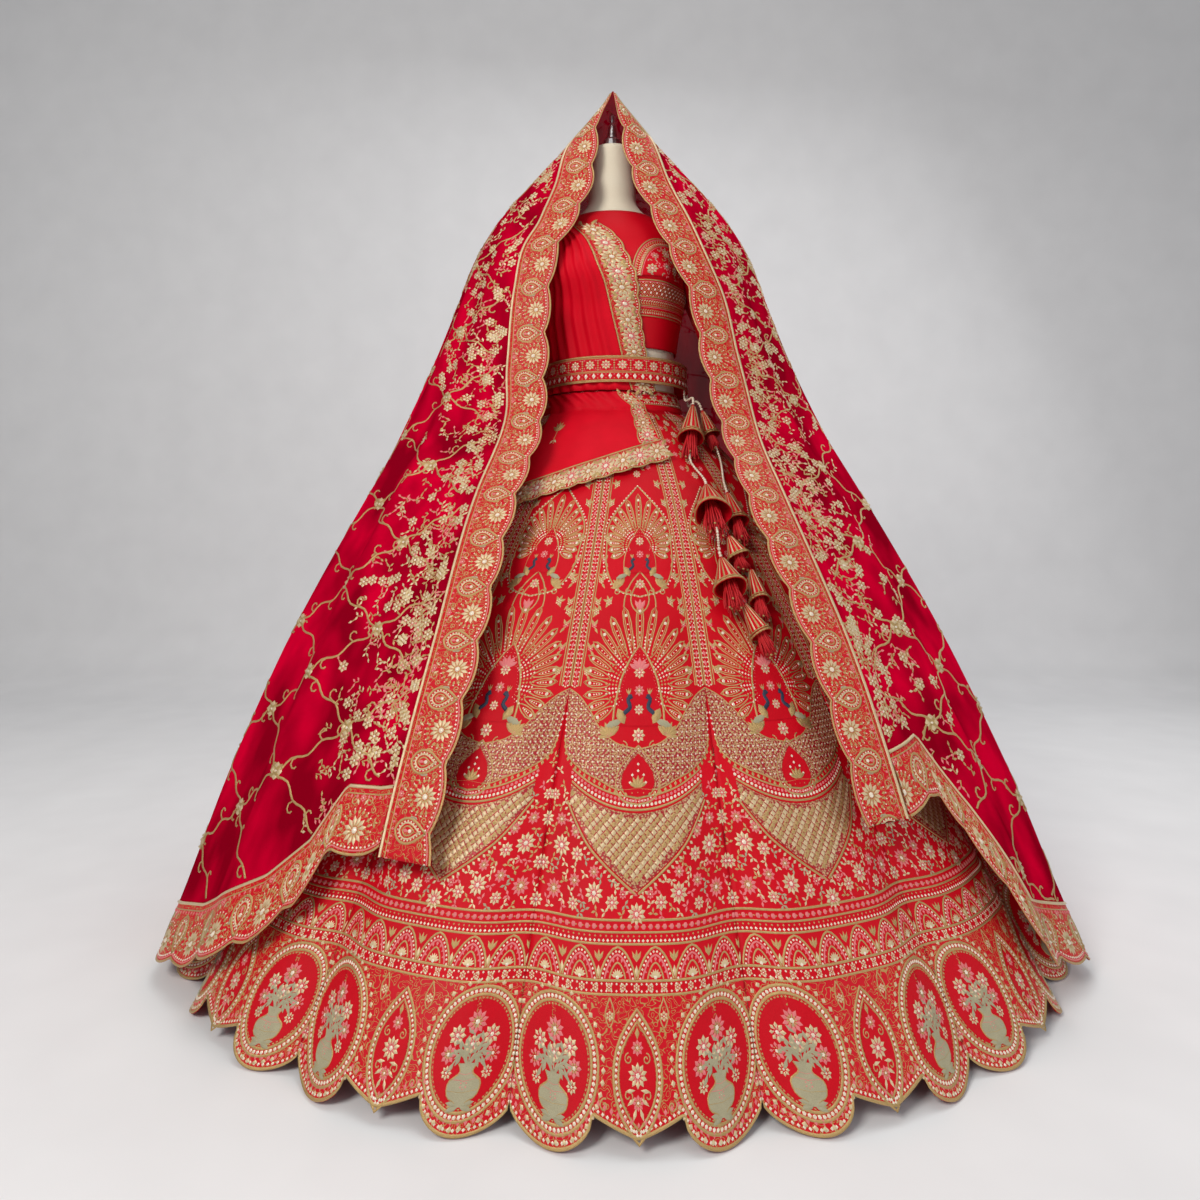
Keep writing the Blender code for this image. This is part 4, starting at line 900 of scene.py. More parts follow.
def stitch_beads(work):
    """The field of diagonal bead rows with its scalloped lower edge and a drop in its middle."""
    low = rounded([*BEAD_FIELD_LOW, (float(kali_half(0.43)) * 0.97, 0.411)], 34)
    high = rounded([*BEAD_FIELD_HIGH, (float(kali_half(0.47)), 0.474)], 34)
    for hand in (-1, 1):
        work.ground(mirrored(low, hand), mirrored(high, hand), FILL, 0.0006, 8)
        work.line(mirrored(low, hand), 0.0026)
        work.line(mirrored(high, hand), 0.0020)
        work.petals(paced(mirrored(low - (0, 0.0015), hand), 0.0078), pi, 0.0062, 0.0050, ZARI)
    i, j = np.meshgrid(np.arange(-22, 23), np.arange(0, 44))
    x, z = (i + j % 2 * 0.5) * BEAD_STEP, 0.354 + j * BEAD_ROW
    top, bottom = np.interp(np.abs(x), high[:, 0], high[:, 1]), np.interp(np.abs(x), low[:, 0], low[:, 1])
    keep = (z < top - 0.002) & (z > bottom + 0.002) & (np.abs(x) < kali_half(z) - 0.002)
    keep &= ~inside(DROP, np.abs(x) - 0.003, z)
    spots, odd = np.stack([x[keep], z[keep]], 1), (j[keep] % 2) == 0
    work.beads(spots[odd], FIELD_BEAD, PEARL, 5)
    work.beads(spots[~odd], FIELD_BEAD, ZARI, 5)
    for share, width in ((1.0, 0.0026), (0.80, 0.0016)):
        work.line(outline(drawn_in(DROP, DROP_Z, share), 20), width, closed=True)
    work.beads(paced(outline(drawn_in(DROP, DROP_Z, 0.9)), 0.0042, True), 0.0014, PEARL)
    core = right_half(drawn_in(DROP, DROP_Z, 0.74), 16)
    work.ground(core, core * (-1, 1), RED, 0.0012)
    work.base = 0.0012
    work.petals([(0, 0.353)], np.linspace(-1.1, 1.1, 5), 0.0150, 0.0050, ZARI)
    work.beads([(0, 0.373), (-0.008, 0.368), (0.008, 0.368), (-0.011, 0.359), (0.011, 0.359), (0, 0.381)], 0.0020)


def bead_rays(work, z, reach, spread, count, first, last):
    """Rows of small beads that spread from a foot between the feathers."""
    for a in np.linspace(-spread, spread, count):
        length = np.interp(abs(a), reach[0], reach[1])
        run = np.arange(first, length * last, 0.0050)[:, None]
        work.beads((0, z) + run * (sin(a), cos(a)), 0.0017, PEARL if round(a * 100) % 2 else ZARI, 5)


LOW_FAN_Z, HIGH_FAN_Z, LOW_FAN_SPREAD, HIGH_FAN_SPREAD = 0.478, 0.690, 2.15, 1.95
LOW_FAN_REACH = ((0.0, 0.30, 0.7, 1.1, 1.5, 1.9, 2.2), (0.122, 0.115, 0.100, 0.088, 0.082, 0.082, 0.078))
HIGH_FAN_REACH = ((0.0, 0.4, 0.9, 1.5, 2.0), (0.092, 0.078, 0.062, 0.053, 0.050))
HIGH_FAN_EDGE = ((0.797, 0.0), (0.775, 0.018), (0.750, 0.037), (0.725, 0.050), (0.690, 0.053), (0.647, 0.051),
                 (0.620, 0.036), (0.608, 0.0))
BETWEEN_FANS = ((0.648, 0.0), (0.628, 0.016), (0.604, 0.025), (0.592, 0.026))
TOP_FLOWERS = (0.820, 0.848, 0.876, 0.904, 0.930)
SIDE_FLOWERS = ((0.047, 0.765), (0.036, 0.800), (0.062, 0.700), (0.058, 0.640), (0.050, 0.600), (0.070, 0.585))


def stitch_fans(work):
    """The two feather fans with their birds, and the flourishes between and beside them."""
    work.base = 0.0
    feathers(work, LOW_FAN_Z, LOW_FAN_REACH, LOW_FAN_SPREAD, 21, 0.0150, 0.046)
    bead_rays(work, LOW_FAN_Z, LOW_FAN_REACH, LOW_FAN_SPREAD, 33, 0.030, 0.62)
    gate = rounded([(0.0, 0.536), (0.012, 0.520), (0.024, 0.498), (0.032, 0.472), (0.037, 0.448), (0.038, 0.428)], 16)
    work.ground(gate * (0.9, 1), gate * (-0.9, 1), RED, 0.0010)
    for hand in (-1, 1):
        work.line(mirrored(gate, hand), 0.0030)
        work.beads(paced(mirrored(gate * (0.86, 1) - (0, 0.002), hand), 0.0048), 0.0014, PEARL, 5)
    work.base = 0.0010
    work.petals([(0, 0.502)], np.linspace(-1.1, 1.1, 5), 0.0175, 0.0066, PINK)
    work.flower(0, 0.4985, 0.0085, 8, CREAM, PINK)
    work.flower(0, 0.474, 0.0076, 8, PINK, ZARI)
    work.flower(0, 0.449, 0.0070, 8, CREAM, PINK)
    for hand in (-1, 1):
        bird(work, hand, 0.0175, 0.434, 0.0225)
    work.base = 0.0
    work.flower(0, 0.416, 0.0095, 8, CREAM, PINK)
    drop = outline(((0.634, 0.0), (0.620, 0.010), (0.604, 0.015), (0.590, 0.010), (0.582, 0.0)), 10)
    work.line(drop, 0.0022, closed=True)
    for hand in (1, -1):
        work.line(mirrored(right_half(BETWEEN_FANS, 12), hand), 0.0022)
    work.petals([(0, 0.588)], (-0.5, 0.5, 0), 0.0170, 0.0060, PINK)
    for hand in (-1, 1):
        work.petals([(hand * 0.041, 0.414)], hand * np.linspace(-0.7, 1.6, 7), 0.0205, 0.0066, ZARI)
        work.petals([(hand * 0.041, 0.414)], hand * np.linspace(-0.5, 1.4, 5), 0.0110, 0.0050, PINK)
        work.curl(hand * 0.046, 0.405, 0.0080, 0, hand)
        work.curl(hand * 0.022, 0.402, 0.0070, 0, -hand)
        work.curl(hand * 0.064, 0.428, 0.0066, 1.0, hand)
        work.curl(hand * 0.078, 0.440, 0.0056, 1.0, -hand)
        work.flower(hand * 0.0320, 0.4000, 0.0064, 8, CREAM, PINK)
    feathers(work, HIGH_FAN_Z, HIGH_FAN_REACH, HIGH_FAN_SPREAD, 17, 0.0125, 0.028)
    bead_rays(work, HIGH_FAN_Z, HIGH_FAN_REACH, HIGH_FAN_SPREAD, 25, 0.018, 0.60)
    edge = outline(HIGH_FAN_EDGE, 34)
    work.line(edge * (1.05, 1), 0.0024, closed=True)
    work.beads(paced(edge * (1.13, 1), 0.0062, True), 0.0017, PEARL, 5)
    gap = rounded([(0.0, 0.722), (0.009, 0.708), (0.019, 0.690), (0.026, 0.666), (0.026, 0.646)], 10)
    work.ground(gap, gap * (-1, 1), RED, 0.0010)
    for hand in (-1, 1):
        work.line(mirrored(gap, hand), 0.0024)
        work.petals([(hand * 0.032, 0.624)], hand * np.linspace(-0.4, 1.7, 6), 0.0165, 0.0056, ZARI)
        work.curl(hand * 0.018, 0.616, 0.0062, 0, hand)
        work.curl(hand * 0.038, 0.616, 0.0055, 0, -hand)
    work.base = 0.0010
    for hand in (-1, 1):
        bird(work, hand, 0.0145, 0.643, 0.0175)
    work.flower(0, 0.698, 0.0074, 8, CREAM, PINK)
    work.flower(0, 0.676, 0.0064, 8, PINK, ZARI)
    work.base = 0.0
    work.flower(0, 0.628, 0.0080, 8, CREAM, PINK)
    for z in TOP_FLOWERS:
        work.flower(0.0, z, 0.0072, 8, CREAM, PINK)
        for hand in (-1, 1):
            work.petals([(hand * 0.007, z + 0.012)], hand * np.array((0.3, 1.2, 2.1)), 0.0100, 0.0044, ZARI)
            if kali_half(z) > 0.036:
                work.flower(hand * 0.022, z + 0.014, 0.0052, 6, PINK, ZARI)
    for hand in (-1, 1):
        for x, z in SIDE_FLOWERS:
            if x < kali_half(z) - 0.018:
                work.petals([(hand * x, z)], hand * np.array((-0.6, 0.3, 1.2, 2.6)), 0.0105, 0.0046, ZARI)
                work.flower(hand * x, z, 0.0052, 6, CREAM, PINK)


SEAM_CORDS = ((0.0016, 0.0022), (0.0125, 0.0022), (0.0160, 0.0016))


def stitch_seams(work):
    """The bands of beads and small flowers down both seams, above the bead field."""
    z = np.linspace(0.952, 0.478, 34)
    for hand in (-1, 1):
        for inset, width in SEAM_CORDS:
            keep = kali_half(z) > inset + 0.010
            work.line(np.stack([hand * (kali_half(z) - inset), z], 1)[keep], width)
        route = np.stack([hand * (kali_half(z) - 0.0070), z], 1)[kali_half(z) > 0.018]
        spots = paced(route, 0.0135)
        work.petals(spots, 0.0, 0.0085, 0.0050, PINK)
        work.petals(spots, pi, 0.0030, 0.0040, CREAM)
        work.beads(paced(route + (hand * 0.0034, 0), 0.0064), 0.0014, PEARL, 5)
        work.beads(paced(route - (hand * 0.0034, 0), 0.0064), 0.0014, PEARL, 5)
        for height in np.arange(0.495, 0.90, 0.034):
            inner = kali_half(height) - 0.0225
            if inner > 0.052:
                work.petals([(hand * inner, height)], hand * np.array((-2.6, -0.5, 0.4)), 0.0120, 0.0046, ZARI)
                work.flower(hand * inner, height + 0.002, 0.0046, 6, CREAM if int(height * 100) % 2 else PINK, PINK)


def kali_place(k):
    """Where a chart place of one panel lies on the skirt."""
    def place(x, z, lift):
        share = np.clip(0.5 + 0.5 * x / kali_half(z), 0.0, 1.0)
        return skirt_face(kali_turn(k, share, z), z, lift)
    return place


kali_work = Needlework()
for stitch in (stitch_hem, stitch_bands, stitch_field, stitch_beads, stitch_fans, stitch_seams):
    stitch(kali_work)
kali_shares = np.linspace(0, 1, KALI_WIDE + 1)
kali_falls = np.linspace(0, 1, KALI_TALL + 1) ** 0.9
for k in range(KALI_COUNT):
    hem = hem_height(kali_shares)
    z = (SKIRT_TOP - 0.0003) + (hem[None, :] - SKIRT_TOP) * kali_falls[:, None]
    share = np.broadcast_to(kali_shares[None, :], z.shape)
    cloth = piece(f"kali_cloth_{k:02d}", skirt_face(kali_turn(k, share, z), z),
                  net_faces(KALI_TALL + 1, KALI_WIDE + 1), satin, [f"kali_{k:02d}"],
                  wall=SKIRT_WALL)
    worked = work_piece(f"kali_work_{k:02d}", kali_work, kali_place(k))


# The waistband, a stiff band of worked satin that the panels are sewn into, and the separate
# belt, stiff satin with rosettes and drop stones, which is worn over the blouse and the drape.
WAISTBAND_TOP, WAISTBAND_WALL, WAISTBAND_OFF = 1.003, 0.0025, 0.0007
WAISTBAND_INSET, WAISTBAND_DROP = 0.0013, 0.0009
BELT_TOP, BELT_HEIGHT, BELT_DROOP, BELT_WALL = 1.066, 0.052, 0.014, 0.0022
BELT_OFFSETS = (
    ("angle", "off"),
    (-180, 0.0164), (-100, 0.0160), (-40, 0.0160), (0, 0.0162), (60, 0.0235), (100, 0.0270), (180, 0.0164),
)
WAIST_CHART_TALL, BAND_WIDE, BAND_TALL, CORD_POINTS = 0.0455, 120, 7, 181
BELT_RADIUS = 0.1385
BAND_ROUND = tau * BELT_RADIUS
BELT_CORD_LINES = ((0.0508, 0.0036), (0.0475, 0.0018), (0.0215, 0.0018), (0.0190, 0.0014), (0.0042, 0.0018),
                   (0.0014, 0.0032))
ROSETTE_COUNT, WAIST_FLOWER_COUNT = 28, 26


def waistband(turn, share, off=0.0):
    """Places on the waistband; share runs from its top edge to its lower edge."""
    top = body(turn, np.full_like(turn, WAISTBAND_TOP), WAISTBAND_OFF + off)
    low = np.stack([(WAIST_SIDE - WAISTBAND_INSET + off) * np.sin(turn),
                    AXIS_Y - (WAIST_DEPTH - WAISTBAND_INSET + off) * np.cos(turn),
                    np.full_like(turn, SKIRT_TOP - WAISTBAND_DROP)], axis=-1)
    return top + (low - top) * np.asarray(share)[..., None]


def belt(turn, share, off=0.0):
    """Places on the belt's inner face, or off it; share runs from its top to its lower edge."""
    z = BELT_TOP - BELT_DROOP * (1 - np.cos(turn)) / 2 - BELT_HEIGHT * share
    return body(turn, z, smooth(BELT_OFFSETS, "angle", "off", turn * 180 / pi) + off)


def belt_chart():
    """Rosettes in squares over a row of drop stones, between piped and beaded edges."""
    work = Needlework()
    for z, width in BELT_CORD_LINES:
        work.level(-BAND_ROUND / 2, BAND_ROUND / 2, z, width, count=CORD_POINTS)
    count = ROSETTE_COUNT
    pitch = BAND_ROUND / count
    x = (np.arange(count) - count / 2 + 0.5) * pitch
    for spot in x:
        work.flower(spot, 0.0345, 0.0098, 8, CREAM, PINK)
        for z in (0.0250, 0.0440):
            work.level(spot - pitch / 2, spot + pitch / 2, z, 0.0012, PINK)
        for aside, z in ((-0.36, 0.0265), (0.36, 0.0265), (-0.36, 0.0425), (0.36, 0.0425)):
            work.petals([(spot + aside * pitch, z)], 0.0, 0.0034, 0.0034, PINK)
    for z in (0.0245, 0.0290, 0.0335, 0.0380, 0.0425):
        work.beads(np.stack([x + pitch / 2, np.full(count, z)], 1), 0.0021, ZARI)
    stones = (np.arange(count * 2) - count + 0.5) * pitch / 2
    work.petals(np.stack([stones, np.full(count * 2, 0.0062)], 1), 0.0, 0.0118, 0.0078, PEARL)
    work.beads(np.stack([stones + pitch / 4, np.full(count * 2, 0.0080)], 1), 0.0014, ZARI)
    work.beads(np.stack([stones + pitch / 4, np.full(count * 2, 0.0158)], 1), 0.0016, PINK)
    return work


def waist_chart():
    """Cream flowers and gold leaves over the waistband's upper half."""
    work = Needlework()
    for z, width in ((0.0445, 0.0026), (0.0155, 0.0022)):
        work.level(-BAND_ROUND / 2, BAND_ROUND / 2, z, width, count=CORD_POINTS)
    pitch = BAND_ROUND / WAIST_FLOWER_COUNT
    for i in range(WAIST_FLOWER_COUNT):
        x = (i - WAIST_FLOWER_COUNT / 2 + 0.5) * pitch
        work.flower(x, 0.0300, 0.0094, 8, CREAM, PINK)
        for a in (0.9, 2.2, -0.9, -2.2):
            work.petals([(x + sin(a) * 0.008, 0.0300 + cos(a) * 0.006)], a, 0.0095, 0.0042, ZARI)
        work.flower(x + pitch / 2, 0.0385, 0.0042, 6, PINK)
        work.flower(x + pitch / 2, 0.0225, 0.0046, 6, CREAM)
    work.beads(paced([(-BAND_ROUND / 2, 0.0180), (BAND_ROUND / 2, 0.0180)], 0.0055), 0.0015, PEARL, 5)
    return work


ring_turns = tau * np.arange(BAND_WIDE) / BAND_WIDE - pi
band_turns, band_shares = np.meshgrid(ring_turns, np.linspace(0, 1, BAND_TALL))
band_faces = net_faces(BAND_TALL, BAND_WIDE, ring=True)
waist_cloth = piece("waistband_cloth", waistband(band_turns, band_shares, WAISTBAND_WALL), band_faces, satin,
                    ["waistband"], wall=0.002)
waist_work = work_piece("waistband_work", waist_chart(), lambda x, z, h: waistband(
    x / BELT_RADIUS, 1 - z / WAIST_CHART_TALL, WAISTBAND_WALL + h))
belt_cloth = piece("belt_cloth", belt(band_turns, band_shares, BELT_WALL), band_faces, satin,
                   ["belt"], wall=BELT_WALL)
belt_work = work_piece("belt_work", belt_chart(), lambda x, z, h: belt(
    x / BELT_RADIUS, 1 - z / BELT_HEIGHT, BELT_WALL + h))


# The hanging ornaments: strings of pearls from the belt carry striped cloth bells whose beaded
# rims open over tassels of red thread, and other bells hang from those by strings or strands.
CORD_RADIUS, CORD_EASE, CORD_STEP, GAP = 0.0030, 0.012, 0.010, 0.0003
BELL_WALL, BELL_TIP, TASSEL_SEAT, TASSEL_REACH = 0.0012, 0.0030, 0.34, 1.42
LATKANS = (
    ("x", "z", "stand", "to_x", "to_z", "to_stand", "radius"),
    (0.1540, 0.965, 0.0695, 0.1435, 0.894, 0.0280, 0.0245),
    (0.1624, 0.8005, 0.0140, 0.1634, 0.7452, 0.0370, 0.0318),
    (0.2030, 0.7866, 0.0120, 0.2116, 0.7301, 0.0240, 0.0191),
    (0.1876, 0.7069, 0.0330, 0.2012, 0.6712, 0.0270, 0.0186),
    (0.1712, 0.6702, 0.0150, 0.1781, 0.6203, 0.0320, 0.0268),
    (0.2207, 0.6514, 0.0220, 0.2284, 0.5997, 0.0220, 0.0165),
    (0.1971, 0.5977, 0.0240, 0.2219, 0.5489, 0.0240, 0.0175),
    (0.1746, 0.9565, 0.0655, 0.1900, 0.905, 0.0300, 0.0160),
)
BELT_CORDS = ((1, 70), (8, 90))
BELL_CORDS = ((2, 1), (3, 8), (5, 2))
STRAND_TIES = ((4, 2), (6, 4), (7, 5))
BEAD_PITCH, BIG_PEARLS, BIG_PEARL_PITCH, SMALL_PEARL, HOLE_RADIUS = 0.0052, 3, 0.0062, 0.80, 0.0007
BEAD_SLICES = (0.04, 0.16, 0.34, 0.5, 0.66, 0.84, 0.96)
BELL_SIDES, BELL_ROWS, STRIPE_FIRST, STRIPE_LAST, STRIPE_POINTS = 40, 14, 0.07, 0.86, 6
RIM_BRAIDS, RIM_POINTS, RIM_SIDES, RIM_TWISTS = ((0.90, 0.0010, 0.0012), (0.975, 0.0012, 0.0016)), 64, 6, 16
THREAD_COUNT, THREAD_POINTS, THREAD_RADIUS, GOLDEN_TURN = 46, 7, 0.0013, 2.39996
TASSEL_BIND = ((0.0, 0.75), (0.03, 1.0), (0.11, 0.92), (0.13, 0.98))
BIND_SIDES, TIE_POINTS, TIE_SIDES, TIE_RADIUS = 12, 9, 6, 0.0011
GOLD_BALL = ((-0.0020, 0.0004), (-0.0012, 0.0016), (0.0, 0.0021), (0.0012, 0.0016), (0.0020, 0.0004))
DOWN = np.array((0, 0, -1.0))


def skirt_front(x, z, off):
    """A place on the skirt's front above the given X and Z, without its seam folds."""
    side, depth, centre, _ = skirt_axes(np.asarray(z, float))
    share = np.minimum(np.abs(x) / (side + off), 0.98)
    y = centre - (depth + off) * (1 - share**2) ** 0.5
    return np.stack([x + 0 * y, y, z + 0 * y], axis=-1)


def unit(way):
    """A direction of length 1."""
    return way / np.linalg.norm(way)


def frame_of(along):
    """Two level directions square to one."""
    across = unit(np.cross(along, (0.0, 1.0, 0.0) if abs(along[1]) < 0.9 else (1.0, 0.0, 0.0)))
    return across, np.cross(along, across)


def turned(centres, ways, radii, sides):
    """Rings of corners round a line of centres."""
    rows = []
    for centre, way, radius in zip(centres, ways, radii):
        across, other = frame_of(way)
        a = tau * np.arange(sides) / sides
        rows.append(centre + radius * (np.cos(a)[:, None] * across + np.sin(a)[:, None] * other))
    return np.array(rows)


def bead_string(name, start, start_way, end, end_way):
    """A string of pearls on the cord's route, with three larger ones at its lower end."""
    ease = min(CORD_EASE, np.linalg.norm(end - start) / 3)
    points = [start, start + start_way * ease, end - end_way * ease, end]
    length = sum(np.linalg.norm(np.subtract(b, a)) for a, b in zip(points[:-1], points[1:]))
    route = rounded(points, max(5, int(length / CORD_STEP)))
    run = np.concatenate(([0], np.cumsum(np.linalg.norm(np.diff(route, axis=0), axis=1))))
    real = run[-1]
    sizes = [BEAD_PITCH] * int((real - BIG_PEARLS * BIG_PEARL_PITCH) / BEAD_PITCH)
    sizes += [(real - sum(sizes)) / BIG_PEARLS] * BIG_PEARLS
    at, slices = 0.0, []
    for size in sizes:
        widest = CORD_RADIUS if size > BEAD_PITCH * 1.05 else CORD_RADIUS * SMALL_PEARL
        for share in BEAD_SLICES:
            slices.append((at + size * share, max(HOLE_RADIUS, widest * (1 - (2 * share - 1) ** 2) ** 0.5)))
        at += size
    runs, radii = zip(*slices)
    places = np.stack([np.interp(runs, run, route[:, i]) for i in range(3)], 1)
    rings = turned(places, [unit(way) for way in np.gradient(places, axis=0)], radii, 8)
    string = piece(name, rings, net_faces(len(slices), 8, ring=True), pearl,
                   ["latkan_cord_" + name[-1]])
    return string, route, real


def bell_parts(index, apex, mouth, radius):
    """A cone of cloth with couched stripes and two braided cords round its rim."""
    along = unit(mouth - apex)
    length = np.linalg.norm(mouth - apex)
    across, other = frame_of(along)
    chance = np.random.default_rng(index)
    ripple = chance.uniform(0, tau)

    def cone(turn, share, off=0.0):
        """Places on the cone, from its tip at share 0 to its rippled rim."""
        wide = BELL_TIP + (radius - BELL_TIP) * share**0.92
        wide = wide * (1 + 0.05 * share**3 * np.sin(3 * turn + ripple)) - BELL_WALL * 0.2 + off
        side = np.cos(turn)[..., None] * across + np.sin(turn)[..., None] * other
        return apex + along * (length * share)[..., None] + side * wide[..., None]

    turns, shares = np.meshgrid(tau * np.arange(BELL_SIDES) / BELL_SIDES, np.linspace(0, 1, BELL_ROWS))
    cloth = piece(f"latkan_bell_cloth_{index}", cone(turns, shares),
                  net_faces(BELL_ROWS, BELL_SIDES, ring=True, flip=True), satin,
                  [f"latkan_bell_{index}"], wall=BELL_WALL * 0.8)
    work = Needlework()
    stripes = max(12, 2 * int(radius * 300))
    t = np.linspace(STRIPE_FIRST, STRIPE_LAST, STRIPE_POINTS)
    cells = np.arange(STRIPE_POINTS - 1)
    for i in range(stripes):
        x, half = tau * i / stripes, 0.40 * pi / stripes
        corners = np.concatenate([np.stack([x + side * half + 0 * t, t, 0 * t + lift], 1)
                                  for side, lift in ((1, 0.0), (0, 0.0010), (-1, 0.0))])
        work.lay(corners, strips(np.concatenate([cells, cells + STRIPE_POINTS]), STRIPE_POINTS),
                 ZARI if i % 2 else CREAM)
    striped = work_piece(f"latkan_bell_work_{index}", work, lambda x, t, h: cone(x, t, h + 0.0001))
    around = tau * np.arange(RIM_POINTS) / RIM_POINTS
    braids, faces = [], []
    for braid, (share, off, thick) in enumerate(RIM_BRAIDS):
        line = cone(around, np.full(RIM_POINTS, share), off)
        outward = line - (apex + along * ((line - apex) @ along)[:, None])
        outward /= np.linalg.norm(outward, axis=1)[:, None]
        twist = thick * (1 + 0.28 * np.sin(around * RIM_TWISTS))[:, None]
        rings = np.stack([line + outward * twist * cos(a) + along * twist * sin(a)
                          for a in tau * np.arange(RIM_SIDES) / RIM_SIDES], axis=1)
        braids.append(rings.reshape(-1, 3))
        for i in range(RIM_POINTS):
            here = (braid * RIM_POINTS + i) * RIM_SIDES
            there = (braid * RIM_POINTS + (i + 1) % RIM_POINTS) * RIM_SIDES
            for j in range(RIM_SIDES):
                after = (j + 1) % RIM_SIDES
                faces.append((here + j, here + after, there + after, there + j))
    braided = piece(f"latkan_bell_rim_{index}", np.concatenate(braids), faces, zari)
    return [cloth, striped, braided], along, across, other, length


def tassel_parts(index, apex, along, across, other, length, radius, ties):
    """A tassel of twisted threads from a bound head inside its bell, some ending in gold beads."""
    head = apex + along * length * (TASSEL_SEAT - 0.06)
    seat = radius * TASSEL_SEAT * 0.50
    chance = np.random.default_rng(40 + index)
    corners, faces, paints = [], [], []

    def add(places, own_faces, paint):
        """Adds a shape of the tassel, in thread (0) or gold (1)."""
        base = sum(len(c) for c in corners)
        corners.append(np.asarray(places).reshape(-1, 3))
        faces.extend(tuple(int(v) + base for v in face) for face in own_faces)
        paints.extend([paint] * len(own_faces))

    shares, radii = zip(*TASSEL_BIND)
    bound = turned([head + along * length * t for t in shares], [along] * len(shares), [seat * r for r in radii],
                   BIND_SIDES)
    foot = (len(shares) - 1) * BIND_SIDES
    top_middle, foot_middle = foot + BIND_SIDES, foot + BIND_SIDES + 1
    bound_faces = [tuple(f[::-1]) for f in net_faces(len(shares), BIND_SIDES, ring=True)]
    bound_faces += [(top_middle, j, (j + 1) % BIND_SIDES) for j in range(BIND_SIDES)]
    bound_faces += [(foot_middle, foot + (j + 1) % BIND_SIDES, foot + j) for j in range(BIND_SIDES)]
    add(np.vstack([bound.reshape(-1, 3), head, head + along * length * shares[-1]]), bound_faces, 0)
    thread_faces = [tuple(f) for f in net_faces(THREAD_POINTS, 4, ring=True)] + [(24, 27, 26, 25)]
    ball_faces = net_faces(len(GOLD_BALL), 7, ring=True)
    for n in range(THREAD_COUNT):
        a, r = n * GOLDEN_TURN, seat * 0.9 * ((n + 0.5) / THREAD_COUNT) ** 0.5
        side = across * cos(a) + other * sin(a)
        reach = length * (0.95 + 0.22 * chance.random())
        t = np.linspace(0.10, 1.0, THREAD_POINTS)[:, None]
        spread = r * (1 + 3.4 * t) + 0.0014 * np.sin(t * 9 + n)
        centres = (head + along * length * 0.05 + along * reach * t + side * spread
                   + DOWN * 0.10 * length * t**2)
        add(turned(centres, [along] * THREAD_POINTS, [THREAD_RADIUS] * (THREAD_POINTS - 1) + [0.0009], 4),
            thread_faces, 0)
        if n % 9 == 4:
            ball = centres[-1] + along * 0.002
            add(turned([ball + along * s for s, _ in GOLD_BALL], [along] * len(GOLD_BALL),
                       [r for _, r in GOLD_BALL], 7), ball_faces, 1)
    for place, way in ties:
        top = head + along * length * 0.10
        route = rounded([top, top + (place - top) * 0.4 + along * 0.004, place - way * 0.004, place], TIE_POINTS)
        add(turned(route, [unit(w) for w in np.gradient(route, axis=0)], [TIE_RADIUS] * TIE_POINTS, TIE_SIDES),
            net_faces(TIE_POINTS, TIE_SIDES, ring=True), 0)
    return piece(f"latkan_tassel_threads_{index}", np.concatenate(corners), faces, [thread, zari],
                 [f"latkan_tassel_{index}"], paint_of=paints)


thread = silk("red_thread", (0.34, 0.0, 0.004), (0.80, 0.012, 0.02), 0.6)
bells = {}
for index, row in enumerate(named(LATKANS), start=1):
    bells[index] = (skirt_front(row["x"], row["z"], row["stand"]),
                    skirt_front(row["to_x"], row["to_z"], row["to_stand"]), row["radius"])
ties = {index: [] for index in bells}
for bell, belt_turn in BELT_CORDS:
    apex, mouth, _ = bells[bell]
    way = unit(mouth - apex)
    start = belt(np.array([radians(belt_turn)]), 1.0, BELT_WALL / 2)[0] - (0, 0, GAP)
    bead_string(f"pearl_string_{bell}", start, DOWN, apex - way * GAP, way)
for bell, above in BELL_CORDS:
    apex, mouth, _ = bells[bell]
    way = unit(mouth - apex)
    above_apex, above_mouth, _ = bells[above]
    start_way = unit(above_mouth - above_apex)
    start = above_apex + (above_mouth - above_apex) * TASSEL_REACH
    ties[above].append((start, start_way))
    bead_string(f"pearl_string_{bell}", start + start_way * GAP, start_way, apex - way * GAP, way)
for bell, above in STRAND_TIES:
    apex, mouth, _ = bells[bell]
    way = unit(mouth - apex)
    ties[above].append((apex - way * GAP, way))
for index, (apex, mouth, radius) in bells.items():
    parts, along, across, other, length = bell_parts(index, apex, mouth, radius)
    parts + [tassel_parts(index, apex, along, across, other, length, radius, ties[index])]


# The blouse: satin yoke, back and hem strip, a worked band under the bust, two cup panels laid
# on, and short sleeves set into the armholes.
CHOLI_OFF, CHOLI_WALL = 0.0026, 0.0014
BAND_LOW, BAND_HIGH = 1.147, 1.217
ARMHOLE_Z, ARMHOLE_HALF_HEIGHT, ARMHOLE_TURN = 1.272, 0.062, radians(26)
CUP_OFF = CHOLI_OFF + CHOLI_WALL + 0.0024
CUP_WALL, CUP_LOW, CUP_HIGH = 0.0012, 1.2215, 1.308
CUP_TURNS, CUP_ARCH = (radians(11), radians(60)), radians(20)
SLEEVE_CUFF, CUFF_RADIUS, SLEEVE_LAP, SLEEVE_WALL = (0.232, 0.165, 1.105), 0.050, 0.0020, 0.0014
BLOUSE_RADIUS, BLOUSE_GIRTH, SIDE_GAP = 0.150, 0.48, 0.0015
CUP_CORDS = ((0.0012, 0.0026, ZARI), (0.0045, 0.0014, PINK), (0.0145, 0.0020, ZARI), (0.0170, 0.0012, PINK))
